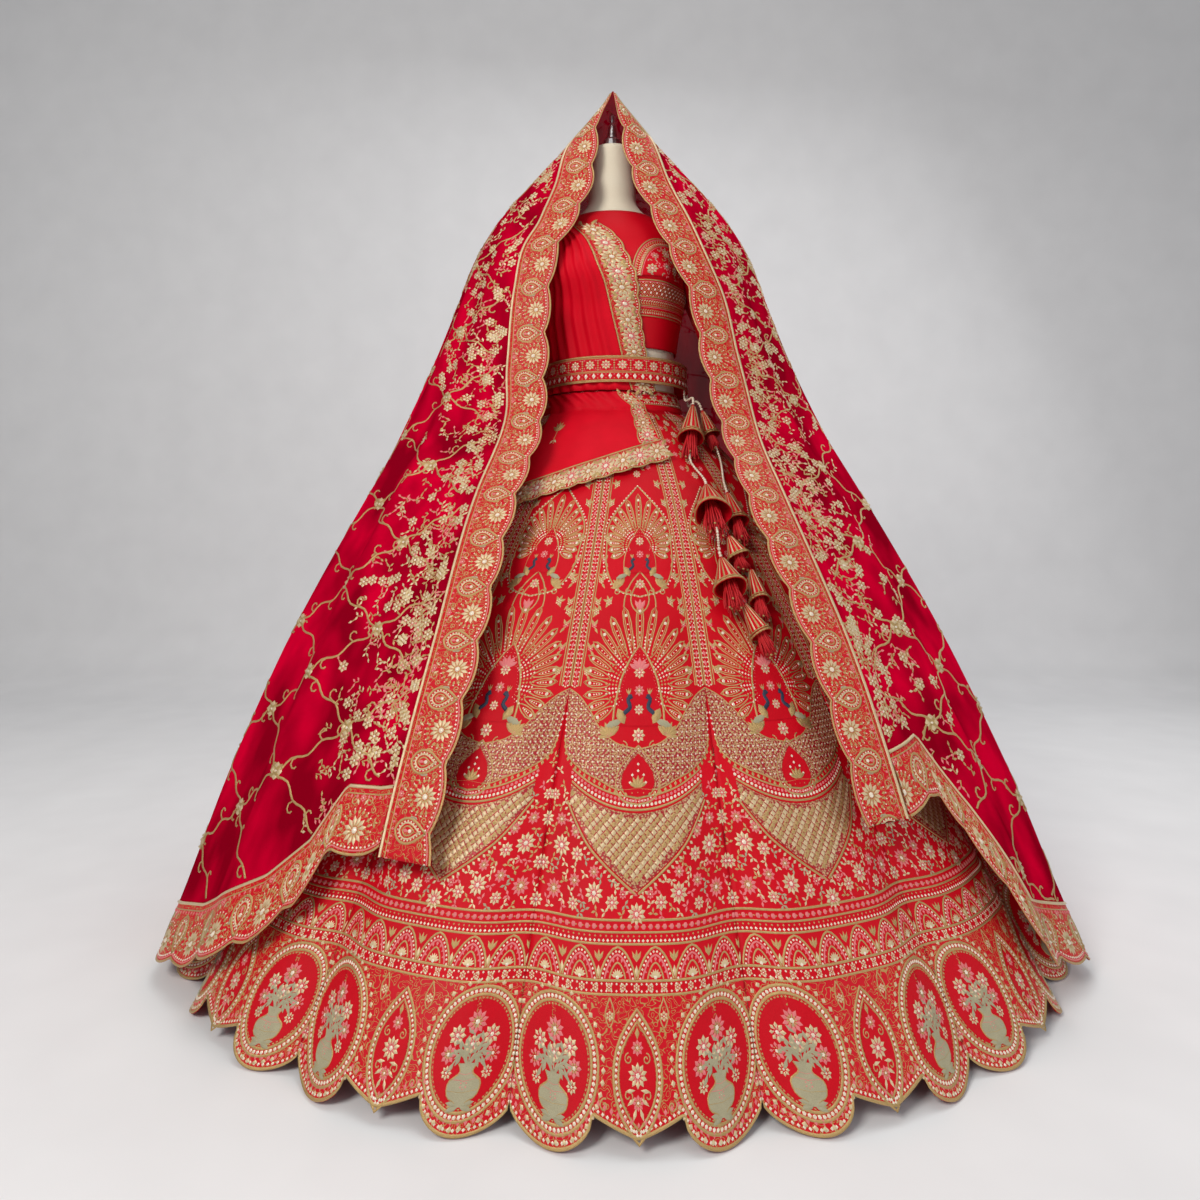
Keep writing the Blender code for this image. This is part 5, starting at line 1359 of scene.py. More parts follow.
CUP_FLOWERS = (
    ("x", "z", "radius", "paint"),
    (0.062, 1.236, 0.0100, CREAM), (0.070, 1.266, 0.0085, PINK), (0.090, 1.243, 0.0092, PINK),
    (0.096, 1.274, 0.0095, CREAM), (0.114, 1.238, 0.0092, CREAM), (0.121, 1.268, 0.0080, PINK),
    (0.139, 1.243, 0.0085, CREAM),
)
BAND_EDGES = (
    (1.2150, 0.0026, ZARI), (1.2115, 0.0014, PINK), (1.1855, 0.0024, ZARI), (1.1820, 0.0014, PINK),
    (1.1690, 0.0022, ZARI), (1.1662, 0.0012, PINK), (1.1500, 0.0024, ZARI),
)
TRELLIS_PITCH, TRELLIS_RISE, TRELLIS_ROWS = 0.0132, 0.0061, (1.1868, 1.1990)
TRELLIS_PEARLS = ((1.1929, 0.0, 0.0026), (1.2051, 0.0, 0.0026), (1.1990, 0.5, 0.0026), (1.1876, 0.5, 0.0014),
                  (1.2104, 0.5, 0.0014))
LEAF_LEAN, LEAF_PITCH = 0.85, 0.0056
SLEEVE_ROUND, SLEEVE_CHART_TALL, SLEEVE_SPRIGS = 0.314, 0.14, 10
CUFF_CORDS = ((0.0015, 0.0030), (0.0090, 0.0020), (0.0400, 0.0020), (0.0440, 0.0026))


def side_limit(z):
    """How far round a blouse panel reaches before the side seam or the armhole."""
    high = (z - ARMHOLE_Z) / ARMHOLE_HALF_HEIGHT
    return pi / 2 - ARMHOLE_TURN * np.maximum(0.0, 1 - high * high) ** 0.5


def blouse_grid(low, high, start, end, wide, tall):
    """Turns and heights of a blouse panel's corners between two side limits."""
    z = np.linspace(high, low, tall)
    share = np.linspace(0, 1, wide)
    first, last = start(z) + SIDE_GAP, end(z) - SIDE_GAP
    return first[:, None] + (last - first)[:, None] * share[None, :], np.repeat(z[:, None], wide, 1)


def blouse_place(off):
    """Where a chart place lies on the blouse: across in metres from the front centre."""
    return lambda x, z, lift: body(x / BLOUSE_RADIUS, z, off + lift)


def cup_edge(inset, count=26):
    """The arched inner side and top of the right cup panel, a way in from its edge."""
    t = np.linspace(0, 1, count)
    rise = np.sin(t * pi / 2)
    z = CUP_LOW + (CUP_HIGH - CUP_LOW - inset) * rise
    narrow = CUP_ARCH * (1 - (1 - rise**2).clip(0) ** 0.5)
    inner = np.stack([BLOUSE_RADIUS * (CUP_TURNS[0] + narrow) + inset, z], 1)
    far = BLOUSE_RADIUS * (CUP_TURNS[1] - 0.3 * CUP_ARCH) - inset
    top = np.stack([np.linspace(inner[-1, 0], far, 12)[1:], np.full(11, inner[-1, 1])], 1)
    return np.vstack([inner, top])


def cup_chart(hand):
    """A leaf row between gold lines round an arch, with pink and cream flowers inside."""
    work = Needlework()
    for inset, width, paint in CUP_CORDS:
        work.line(mirrored(cup_edge(inset), hand), width, paint)
    spots = paced(mirrored(cup_edge(0.0094), hand), 0.0052)
    way = np.gradient(spots, axis=0)
    run = np.arctan2(way[:, 0], way[:, 1])
    work.petals(spots, run + hand * 0.9, 0.0078, 0.0034, CREAM)
    work.petals(spots, run - hand * 0.9, 0.0078, 0.0034, ZARI)
    far = BLOUSE_RADIUS * CUP_TURNS[1] - 0.006
    for bloom in named(CUP_FLOWERS):
        inner = PINK if bloom["paint"] == CREAM else ZARI
        work.flower(hand * bloom["x"], bloom["z"], bloom["radius"], 8, bloom["paint"], inner)
    chance = np.random.default_rng(5)
    for i in range(60):
        x, z = chance.uniform(0.054, far), chance.uniform(CUP_LOW + 0.004, CUP_HIGH - 0.024)
        leaves = chance.uniform(0, tau) + np.array((-0.7, 0.7))
        work.petals([(hand * x, z)], leaves, 0.0062, 0.0030, (ZARI, SAGE, PINK)[i % 3])
    return work


def under_bust_chart():
    """A pearl lattice over a leaf row, parted by gold and pink lines."""
    work = Needlework()
    half = BLOUSE_RADIUS * 1.55
    for z, width, paint in BAND_EDGES:
        work.level(-half, half, z, width, paint, count=121)
    count = int(2 * half / TRELLIS_PITCH)
    for i in range(count):
        x = -half + (i + 0.5) * TRELLIS_PITCH
        left, right = x - TRELLIS_PITCH / 2, x + TRELLIS_PITCH / 2
        for low in TRELLIS_ROWS:
            for foot in (low, low + 2 * TRELLIS_RISE):
                work.line([(left, foot), (x, low + TRELLIS_RISE), (right, foot)], 0.0014)
    spots = -half + np.arange(count) * TRELLIS_PITCH
    for z, shift, radius in TRELLIS_PEARLS:
        work.beads(np.stack([spots + shift * TRELLIS_PITCH, np.full(count, z)], 1), radius)
    leaves = np.arange(-half, half, LEAF_PITCH)
    for z, length, rising, falling in ((1.1754, 0.0072, CREAM, ZARI), (1.1580, 0.0068, ZARI, CREAM)):
        feet = np.stack([leaves, np.full(len(leaves), z)], 1)
        work.petals(feet, LEAF_LEAN, length, 0.0032, rising)
        work.petals(feet, pi - LEAF_LEAN, length, 0.0032, falling)
    return work


def sleeve_chart():
    """Sprigs over the sleeve and a beaded band at its cuff, in metres round it and up from the cuff."""
    work = Needlework()
    pitch = SLEEVE_ROUND / SLEEVE_SPRIGS
    for i in range(SLEEVE_SPRIGS):
        for j, share in enumerate((0.18, 0.36, 0.54)):
            x, z = (i + j % 2 / 2) * pitch, SLEEVE_CHART_TALL * (1 - share)
            work.flower(x, z, 0.0078, 8, (CREAM, PINK)[(i + j) % 2])
            work.petals([(x + pitch / 2, z)], (-0.7, 0.7, 3.1), 0.0085, 0.0038, ZARI)
    for z, width in CUFF_CORDS:
        work.level(0, SLEEVE_ROUND, z, width, count=65)
    for i in range(SLEEVE_SPRIGS):
        work.flower(i * pitch + pitch / 2, 0.0245, 0.0118, 10, CREAM, PINK)
        work.petals([(i * pitch, 0.0140)], (-0.5, 0.0, 0.5), 0.0170, 0.0056, ZARI)
    work.beads(paced([(0, 0.0055), (SLEEVE_ROUND, 0.0055)], 0.0060), 0.0018)
    return work


def front_start(z):
    """Where the front panels begin, at the viewer's left."""
    return -side_limit(z)


def back_end(z):
    """Where the back panel ends, at the viewer's left."""
    return tau - side_limit(z)


for name, low, high, start, end, wide, tall, slot in (
    ("choli_yoke", BAND_HIGH, NECK_Z, front_start, side_limit, 60, 30, "red_satin"),
    ("choli_underbust_band", BAND_LOW, BAND_HIGH, front_start, side_limit, 80, 24, "embroidered_satin"),
    ("choli_hem_strip", CHOLI_HEM, BAND_LOW, front_start, side_limit, 80, 20, "red_satin"),
    ("choli_back", CHOLI_HEM, NECK_Z, side_limit, back_end, 60, 40, "red_satin"),
):
    turns, heights = blouse_grid(low, high, start, end, wide, tall)
    cloth = piece(name + "_cloth", body(turns, heights, CHOLI_OFF + CHOLI_WALL), net_faces(tall, wide), satin,
                  [name], wall=CHOLI_WALL)
    size = (heights.max() - heights.min(), BLOUSE_GIRTH)
    worked = []
    if name == "choli_underbust_band":
        worked = [work_piece("choli_underbust_work", under_bust_chart(), blouse_place(CHOLI_OFF + CHOLI_WALL))]
for side, name in ((-1, "choli_cup_left"), (1, "choli_cup_right")):
    z = np.linspace(CUP_HIGH, CUP_LOW, 24)[:, None]
    rise = (z - CUP_LOW) / (CUP_HIGH - CUP_LOW)
    narrow = CUP_ARCH * (1 - (1 - rise**2).clip(0) ** 0.5)
    share = np.linspace(0, 1, 30)[None, :]
    turns = CUP_TURNS[0] + narrow + (CUP_TURNS[1] - CUP_TURNS[0] - 1.3 * narrow) * share
    if side < 0:
        turns = -turns[:, ::-1]
    cloth = piece(name + "_cloth", body(turns, np.repeat(z, 30, 1), CUP_OFF + CUP_WALL), net_faces(24, 30), satin,
                  [name], wall=CUP_WALL)
    worked = work_piece(name + "_work", cup_chart(side), blouse_place(CUP_OFF + CUP_WALL))


def sleeve(turn, share):
    """Places on the viewer's right sleeve; share runs from the armhole to the cuff."""
    z = ARMHOLE_Z + (ARMHOLE_HALF_HEIGHT + 0.006) * np.sin(turn)
    swing = (ARMHOLE_TURN + radians(4)) * np.cos(turn)
    root = body(pi / 2 - swing, z, CHOLI_OFF + CHOLI_WALL + SLEEVE_LAP)
    root[..., 0] += 0.0022 * np.maximum(0.0, np.sin(turn))
    cuff = np.stack([
        SLEEVE_CUFF[0] + CUFF_RADIUS * 0.92 * np.sin(turn) * 0.80,
        SLEEVE_CUFF[1] - CUFF_RADIUS * np.cos(turn),
        SLEEVE_CUFF[2] + CUFF_RADIUS * 0.92 * np.sin(turn) * 0.45,
    ], axis=-1)
    place = root + (cuff - root) * share[..., None]
    place[..., 0] += 0.030 * np.sin(pi * share) * np.maximum(0.0, np.sin(turn)) ** 0.5
    return place


def sleeve_place(side):
    """Where a chart place lies on a sleeve: across round it, up from its cuff, off along its normal."""
    def place(x, z, lift):
        turn, share = x / CUFF_RADIUS, 1 - z / SLEEVE_CHART_TALL
        here, step = sleeve(turn, share), 0.01
        a, b = sleeve(turn + step, share) - here, sleeve(turn, share + step) - here
        normal = np.cross(a, b)
        normal /= np.maximum(np.linalg.norm(normal, axis=-1), 1e-12)[:, None]
        outward = here - np.array((SLEEVE_CUFF[0] - 0.03, SLEEVE_CUFF[1], SLEEVE_CUFF[2] + 0.08))
        normal *= np.sign((normal * outward).sum(axis=-1))[:, None]
        return (here + normal * (lift + 0.0004)[:, None]) * (side, 1, 1)
    return place


SLEEVE_SIDES, SLEEVE_ROWS = 64, 30
sleeve_turns, sleeve_shares = np.meshgrid(tau * np.arange(SLEEVE_SIDES) / SLEEVE_SIDES, np.linspace(0, 1, SLEEVE_ROWS))
for side, name in ((-1, "choli_sleeve_left"), (1, "choli_sleeve_right")):
    places = sleeve(sleeve_turns, sleeve_shares) * (side, 1, 1)
    cloth = piece(name + "_cloth", places, net_faces(SLEEVE_ROWS, SLEEVE_SIDES, ring=True, flip=side < 0), satin,
                  [name])
    thick = cloth.modifiers.new("wall", "SOLIDIFY")
    thick.thickness, thick.offset = SLEEVE_WALL, 1
    worked = work_piece(name + "_work", sleeve_chart(), sleeve_place(side))


# The chiffon drape: pleated over the shoulder and tucked under the belt, it falls below it as
# a small fan, and has embroidered scalloped borders.
DRAPE_WALL, DRAPE_LIFT, PLEAT_RISE = 0.0010, 0.0088, 0.0050
PLEAT_COUNT, BACK_PLEAT_COUNT, PLEATED_SHARE = 7, 4, 0.93
DRAPE_FRONT = (
    ("z", "outer", "inner"),
    (0.999, -74, 14), (1.050, -76, 8), (1.087, -76, 4), (1.117, -76, 1), (1.147, -74, -2), (1.182, -66, -5),
    (1.217, -58, -8), (1.250, -56, -12), (1.282, -56, -16), (1.312, -58, -22), (1.338, -66, -33),
)
DRAPE_BACK = (
    ("z", "outer", "inner"),
    (0.999, 196, 254), (1.050, 197, 255), (1.087, 198, 254), (1.147, 200, 250), (1.217, 204, 238),
    (1.282, 206, 236), (1.312, 210, 238), (1.338, 214, 246),
)
DRAPE_LOW, DRAPE_TOP = 0.999, 1.338
EDGE_WIDTH, EDGE_RUN, EDGE_RADIUS, EDGE_LAP = 0.050, 0.36, 0.125, 0.0012
TAIL_TOP, TAIL_LIFT, TAIL_FOLD, TAIL_FOLD_COUNT, TAIL_STIFF = 0.9955, 0.0060, 0.0045, 3, 0.004
TAIL_LEFT, TAIL_RIGHT, TAIL_HEM = (-0.112, -0.185), (0.052, 0.085), (0.800, 0.892)
TAIL_BORDER, TAIL_RUN, TAIL_SCALLOPS = 0.043, 0.285, 9
SIDE_RUN, SIDE_WIDTH, TAIL_SPAN = 0.128, 0.040, 0.260
SPRIG_X, SPRIG_Z = 0.0606, 0.218


def floral_run(run, wide, radius, pitch, seed):
    """A run of large flowers in leaves between gold edges, as long and wide as asked."""
    work = Needlework()
    chance = np.random.default_rng(seed)
    count = max(2, int(run / pitch))
    pitch = run / count
    t = np.linspace(0, run, count * 8 + 1)
    outer = wide - 0.0035 + 0.0030 * np.abs(np.sin(pi * t / pitch))
    work.level(0, run, 0.0016, 0.0026, count=len(t))
    work.line(np.stack([t, outer], 1), 0.0028)
    work.beads(paced(np.stack([t, outer - 0.0040], 1), 0.0056), 0.0015, PEARL, 5)
    for i in range(count):
        x, z = (i + 0.5) * pitch, wide * 0.50
        work.flower(x, z, radius, 10, CREAM, PINK if i % 2 else ZARI, turn=chance.uniform(0, 1))
        for a in (0.95, 2.2, -0.95, -2.2):
            work.petals([(x + sin(a) * radius * 0.9, z + cos(a) * radius * 0.75)], a, radius * 0.95, radius * 0.42,
                        ZARI)
        work.flower(x + pitch / 2, wide * 0.26, radius * 0.42, 6, PINK)
        work.flower(x + pitch / 2, wide * 0.74, radius * 0.42, 6, PINK if i % 2 else CREAM)
        work.petals([(x + pitch / 2, wide * 0.5)], (0.3, 1.9, 3.4, 5.0), radius * 0.55, radius * 0.26,
                    SAGE if i % 3 == 0 else CREAM)
    return work


def drape(table, share, z, pleats, off=0.0):
    """Places on the pleated drape; share runs from its outer to its inner edge."""
    outer = np.radians(smooth(table, "z", "outer", z))
    inner = np.radians(smooth(table, "z", "inner", z))
    rise = PLEAT_RISE * (0.5 - 0.5 * np.cos(tau * pleats * np.minimum(share / PLEATED_SHARE, 1.0)))
    return body(outer + (inner - outer) * share, z, DRAPE_LIFT + rise + off)


chiffon = Paint("red_chiffon", roughness=0.6, specular_ior_level=0.12)
chiffon_cloud = chiffon.noise(20.0)
chiffon.set(base_color=chiffon.blend(chiffon_cloud, (0.52, 0.0, 0.008), (0.72, 0.0, 0.016)))
for name, table, pleats in (("drape_front", DRAPE_FRONT, PLEAT_COUNT), ("drape_back", DRAPE_BACK, BACK_PLEAT_COUNT)):
    wide, tall = pleats * 10 + 1, 40
    z = np.linspace(table[-1][0], table[1][0], tall)
    share, heights = np.meshgrid(np.linspace(0, 1, wide), z)
    cloth = piece(name + "_cloth", drape(table, share, heights, pleats, DRAPE_WALL), net_faces(tall, wide), chiffon,
                  [name], wall=DRAPE_WALL)


def tail(share, fall, off=0.0):
    """Places on the fan below the belt: share runs left to right, fall from the belt to the hem."""
    left = TAIL_LEFT[0] + (TAIL_LEFT[1] - TAIL_LEFT[0]) * fall
    right = TAIL_RIGHT[0] + (TAIL_RIGHT[1] - TAIL_RIGHT[0]) * fall
    hem = TAIL_HEM[0] + (TAIL_HEM[1] - TAIL_HEM[0]) * share
    x = left + (right - left) * share
    z = TAIL_TOP + (hem - TAIL_TOP) * fall
    fold = TAIL_FOLD * (0.5 + 0.5 * np.sin(tau * TAIL_FOLD_COUNT * share)) * fall
    stiff = np.where(z > SKIRT_TOP, TAIL_STIFF * (1 - fall), 0.0)
    place = skirt_front(x, z, TAIL_LIFT + fold + stiff + off)
    top = drape(DRAPE_FRONT, share, np.full_like(z, DRAPE_LOW), PLEAT_COUNT, off)
    top[..., 2] = z
    return top + (place - top) * np.clip(fall / 0.25, 0, 1)[..., None]


share, fall = np.meshgrid(np.linspace(0, 1, 85), np.linspace(0, 1, 40))
tail_cloth = piece("drape_tail_cloth", tail(share, fall, DRAPE_WALL), net_faces(40, 85), chiffon,
                   ["drape_tail"], wall=DRAPE_WALL)


def tail_past(share, down, off=0.0):
    """Places on the fan's border, by their metres below its hem."""
    hem = TAIL_HEM[0] + (TAIL_HEM[1] - TAIL_HEM[0]) * share
    return tail(share, 1 + down / (TAIL_TOP - hem), off + 0.0030 * np.sin(pi * np.clip(down / TAIL_BORDER, 0, 1)))


share, down = np.meshgrid(np.linspace(0, 1, 120), np.linspace(0, 1, 10))
down = 0.0008 + down * (TAIL_BORDER - 0.0045 + 0.0030 * np.abs(np.sin(pi * TAIL_SCALLOPS * share)))
tail_border = piece("drape_tail_border_cloth", tail_past(share, down, DRAPE_WALL), net_faces(10, 120), scroll,
                    ["drape_tail_border"], wall=DRAPE_WALL)
tail_work = work_piece("drape_tail_border_work", floral_run(TAIL_RUN, TAIL_BORDER, 0.0172, 0.0310, 3),
                       lambda x, z, h: tail_past(x / TAIL_RUN, z - 0.001, DRAPE_WALL + h))
side_chart = floral_run(SIDE_RUN, SIDE_WIDTH, 0.0165, 0.0300, 6)
side_chart.petals([(SPRIG_X, SPRIG_Z)], -pi / 2 + np.linspace(-1.0, 1.0, 5), 0.0170, 0.0052)
side_chart.line([(SPRIG_X, SPRIG_Z), (0.0720, 0.2195), (0.0810, 0.217)], 0.0018)
side_chart.petals([(0.0740, 0.2190)], (pi / 2 - 0.9, pi / 2 + 0.9), 0.0095, 0.0040, CREAM)
tail_side = work_piece("drape_tail_side_work", side_chart, lambda x, z, h: tail(
    1.0 - z / TAIL_SPAN, 0.02 + 0.95 * x / SIDE_RUN, DRAPE_WALL + h))


def drape_border(share, z, off=0.0):
    """Places on the border of the drape's inner edge."""
    inner = np.radians(smooth(DRAPE_FRONT, "z", "inner", z))
    reach = EDGE_WIDTH / EDGE_RADIUS
    return body(inner + EDGE_LAP + reach * share, z, DRAPE_LIFT + 0.0015 * np.sin(pi * share) + off)


share, heights = np.meshgrid(np.linspace(0, 1, 10), np.linspace(DRAPE_TOP, DRAPE_LOW, 60))
edge_cloth = piece("drape_front_border_cloth", drape_border(share, heights, DRAPE_WALL), net_faces(60, 10), scroll,
                   ["drape_front_border"], wall=DRAPE_WALL)
edge_work = work_piece("drape_front_border_work", floral_run(EDGE_RUN, EDGE_WIDTH, 0.0178, 0.0310, 4),
                       lambda x, z, h: drape_border(z / EDGE_WIDTH, DRAPE_TOP + (DRAPE_LOW - DRAPE_TOP) * x / EDGE_RUN,
                                                    DRAPE_WALL + h))


# The veil: a cloak of crimson net that hangs in folds from the finial, open in front, worked in
# gold, and edged with scalloped borders of satin, which are sewn on along a cream piping.
VEIL_WALL = 0.0010
VEIL_PEAK = np.array((0.0, 0.155, 1.632))
VEIL_SECTIONS = (
    ("z", "side", "front", "back", "centre", "left_edge", "right_edge"),
    (1.632, 0.000, 0.000, 0.000, 0.155, 30, 10),
    (1.610, 0.016, 0.016, 0.018, 0.162, 30, 10),
    (1.590, 0.036, 0.032, 0.038, 0.172, 30, 10),
    (1.550, 0.075, 0.052, 0.064, 0.186, 21, 9),
    (1.450, 0.168, 0.080, 0.092, 0.190, 12, 10),
    (1.360, 0.244, 0.104, 0.128, 0.190, 15, 16),
    (1.280, 0.288, 0.130, 0.142, 0.190, 21, 20),
    (1.200, 0.316, 0.146, 0.152, 0.190, 22, 25),
    (1.060, 0.369, 0.168, 0.190, 0.190, 20, 26),
    (0.907, 0.436, 0.222, 0.240, 0.179, 18, 26),
    (0.785, 0.490, 0.318, 0.300, 0.156, 20, 26),
    (0.535, 0.602, 0.450, 0.440, 0.106, 21, 28),
    (0.305, 0.690, 0.554, 0.556, 0.060, 22, 28),
    (0.116, 0.746, 0.628, 0.628, 0.023, 22, 28),
    (0.003, 0.784, 0.668, 0.668, 0.000, 22, 28),
)
VEIL_HEM = (
    ("turn", "z"),
    (22, 0.284), (31, 0.262), (36, 0.260), (40, 0.186), (46, 0.130), (60, 0.052), (73, 0.014),
    (86, 0.004), (104, 0.004), (124, 0.070), (150, 0.330), (180, 0.480),
    (210, 0.330), (236, 0.070), (256, 0.004), (277, 0.004), (290, 0.020), (300, 0.055),
    (307, 0.084), (313, 0.220), (318, 0.318), (326, 0.300), (332, 0.312),
)
VEIL_HEM_LEVEL = 0.20
BORDER_WIDTH, BORDER_MAX_TURN, BORDER_LAP, FINE_FOLD = 0.085, radians(62), 0.0002, 0.0030
VEIL_FOLDS = (
    (52, 0.020, 5), (68, 0.026, 6), (84, 0.016, 5), (101, 0.024, 6), (119, 0.018, 6),
    (138, 0.024, 7), (158, 0.018, 6), (180, 0.022, 7), (203, 0.018, 6), (222, 0.024, 7),
    (241, 0.018, 6), (259, 0.024, 6), (276, 0.016, 5), (292, 0.026, 6), (308, 0.020, 5),
)


def veil(turn, z, off=0.0):
    """Places on the veil; turn runs from the front over the viewer's left."""
    at = {name: smooth(VEIL_SECTIONS, "z", name, z) for name in ("side", "front", "back", "centre")}
    depth = np.where(np.cos(turn) > 0, at["front"], at["back"])
    fall = np.clip(1.50 - z, 0.0, 1.0)
    out = off
    for centre, rise, wide in VEIL_FOLDS:
        out = out + rise * hump(turn - radians(centre), radians(wide)) * fall
    lean = turn + 0.05 * np.sin(z * 7)
    fine = np.sin(lean * 29 + 1.0) * 0.5 + np.sin(lean * 47 + z * 5) * 0.3 + np.sin(lean * 17 - z * 3 + 2.0) * 0.4
    out = out + FINE_FOLD * (1 + fine) * np.clip(fall * 1.6, 0, 1)
    return np.stack([-(at["side"] + out) * np.sin(turn), at["centre"] - (depth + out) * np.cos(turn), z + 0 * turn],
                    axis=-1)


def veil_reach(turn, z, step=0.01):
    """Metres of cloth for one radian of turn."""
    return np.maximum(np.linalg.norm(veil(turn + step, z) - veil(turn - step, z), axis=-1) / (2 * step), 0.004)


def veil_edges(z):
    """Turns of the two front edges and of the seams where their borders meet the net."""
    left = np.radians(smooth(VEIL_SECTIONS, "z", "left_edge", z))
    right = tau - np.radians(smooth(VEIL_SECTIONS, "z", "right_edge", z))
    left_seam = left + np.minimum(BORDER_WIDTH / veil_reach(left + 0.1, z), BORDER_MAX_TURN)
    right_seam = right - np.minimum(BORDER_WIDTH / veil_reach(right - 0.1, z), BORDER_MAX_TURN)
    return left, left_seam, right_seam, right


def veil_hem(turn):
    """The height of the veil's lower edge at one turn."""
    return np.interp(np.degrees(turn), column(VEIL_HEM, "turn"), column(VEIL_HEM, "z"))


def net_place(share, fall, off=0.0):
    """Places on the net: share runs from its left front seam round to the right one."""
    _, low_left, low_right, _ = veil_edges(np.array(VEIL_HEM_LEVEL))
    hem = veil_hem(low_left + (low_right - low_left) * share)
    z = VEIL_PEAK[2] + (hem + BORDER_WIDTH + BORDER_LAP - VEIL_PEAK[2]) * fall
    _, left_seam, right_seam, _ = veil_edges(z)
    return veil(left_seam + (right_seam - left_seam) * share, z, off)


crimson = Paint("crimson_net", roughness=0.7, specular_ior_level=0.0)
crimson.material.surface_render_method = "DITHERED"
# The net's colour is painted with vertical bands of shade and light, for its folds and the places where it lies
# doubled.
crimson_band_stretch = crimson.node("ShaderNodeMapping", None, Vector=crimson.spot(), Scale=(15.0, 15.0, 0.9))
crimson_fold_shade = crimson.node("ShaderNodeMapRange", None, crimson.noise(1.0, at=crimson_band_stretch), 0.36, 0.66, 0.0, 1.0)
crimson_shaded_colour = crimson.blend(crimson_fold_shade, (0.20, 0.0, 0.008), (0.52, 0.0, 0.022))
# A weak glow in the same painted colour is painted light that stands for light passing through the net.
crimson.set(base_color=crimson_shaded_colour, emission_color=crimson_shaded_colour, emission_strength=0.12, alpha=0.98)
NET_WIDE, NET_TALL = 225, 66
share, fall = np.meshgrid(np.linspace(0, 1, NET_WIDE), np.linspace(0.0, 1, NET_TALL) ** 1.15)
net = piece("veil_net_cloth", net_place(share, fall, VEIL_WALL)[:, ::-1], net_faces(NET_TALL, NET_WIDE), crimson,
            ["veil_net"])


# The net's needlework: a trellis of curling zari vine with a flower at each crossing, and
# closer sprays of flowers beside the borders and over the shoulders, sewn through the net.
NET_LEVELS = np.linspace(VEIL_PEAK[2] - 0.004, 0.02, 120)
NET_CELL, VINE_TOP, VINE_SLOPE, WAVE, WAVE_RUN = 0.142, 1.62, 0.62, 0.0042, 0.048
VINE_SIDE, VINE_UP, VINE_CORD, CURL_CORD, CURL_RADIUS = 0.53, 0.85, 0.0032, 0.0026, 0.0098
SPRAY_TRIES, SPRAY_LIMIT, SHOULDER_Z = 9000, 620, 1.12
net_turns = [veil_edges(np.array(z)) for z in NET_LEVELS]
net_runs = []
for (_, first, last, _), level in zip(net_turns, NET_LEVELS):
    ring = veil(np.linspace(first, last, 160), np.full(160, level))
    net_runs.append(np.linalg.norm(np.diff(ring, axis=0), axis=1).sum())
net_runs = np.array(net_runs)


def net_run(z):
    """How much net runs round the level at a height, from front seam to front seam."""
    return np.interp(-z, -NET_LEVELS, net_runs)


def net_spot(hand, run, z, off):
    """A place on the net by its run from the left front seam, or by minus its run from the right."""
    share = (0 if hand > 0 else 1) + run / net_run(z)
    _, left_seam, right_seam, _ = veil_edges(z)
    return veil(left_seam + (right_seam - left_seam) * np.clip(share, 0, 1), z, off)


def net_free(run, z, margin=0.0):
    """Whether a chart place lies on its half of the net, above the lower borders."""
    half = net_run(z) / 2
    share = np.where(run >= 0, run, net_run(z) + run) / net_run(z)
    _, low_left, low_right, _ = veil_edges(np.array(VEIL_HEM_LEVEL))
    hem = veil_hem(low_left + (low_right - low_left) * share)
    return (np.abs(run) < half - margin) & (z > hem + BORDER_WIDTH + 0.006 + margin) & (z < 1.600)


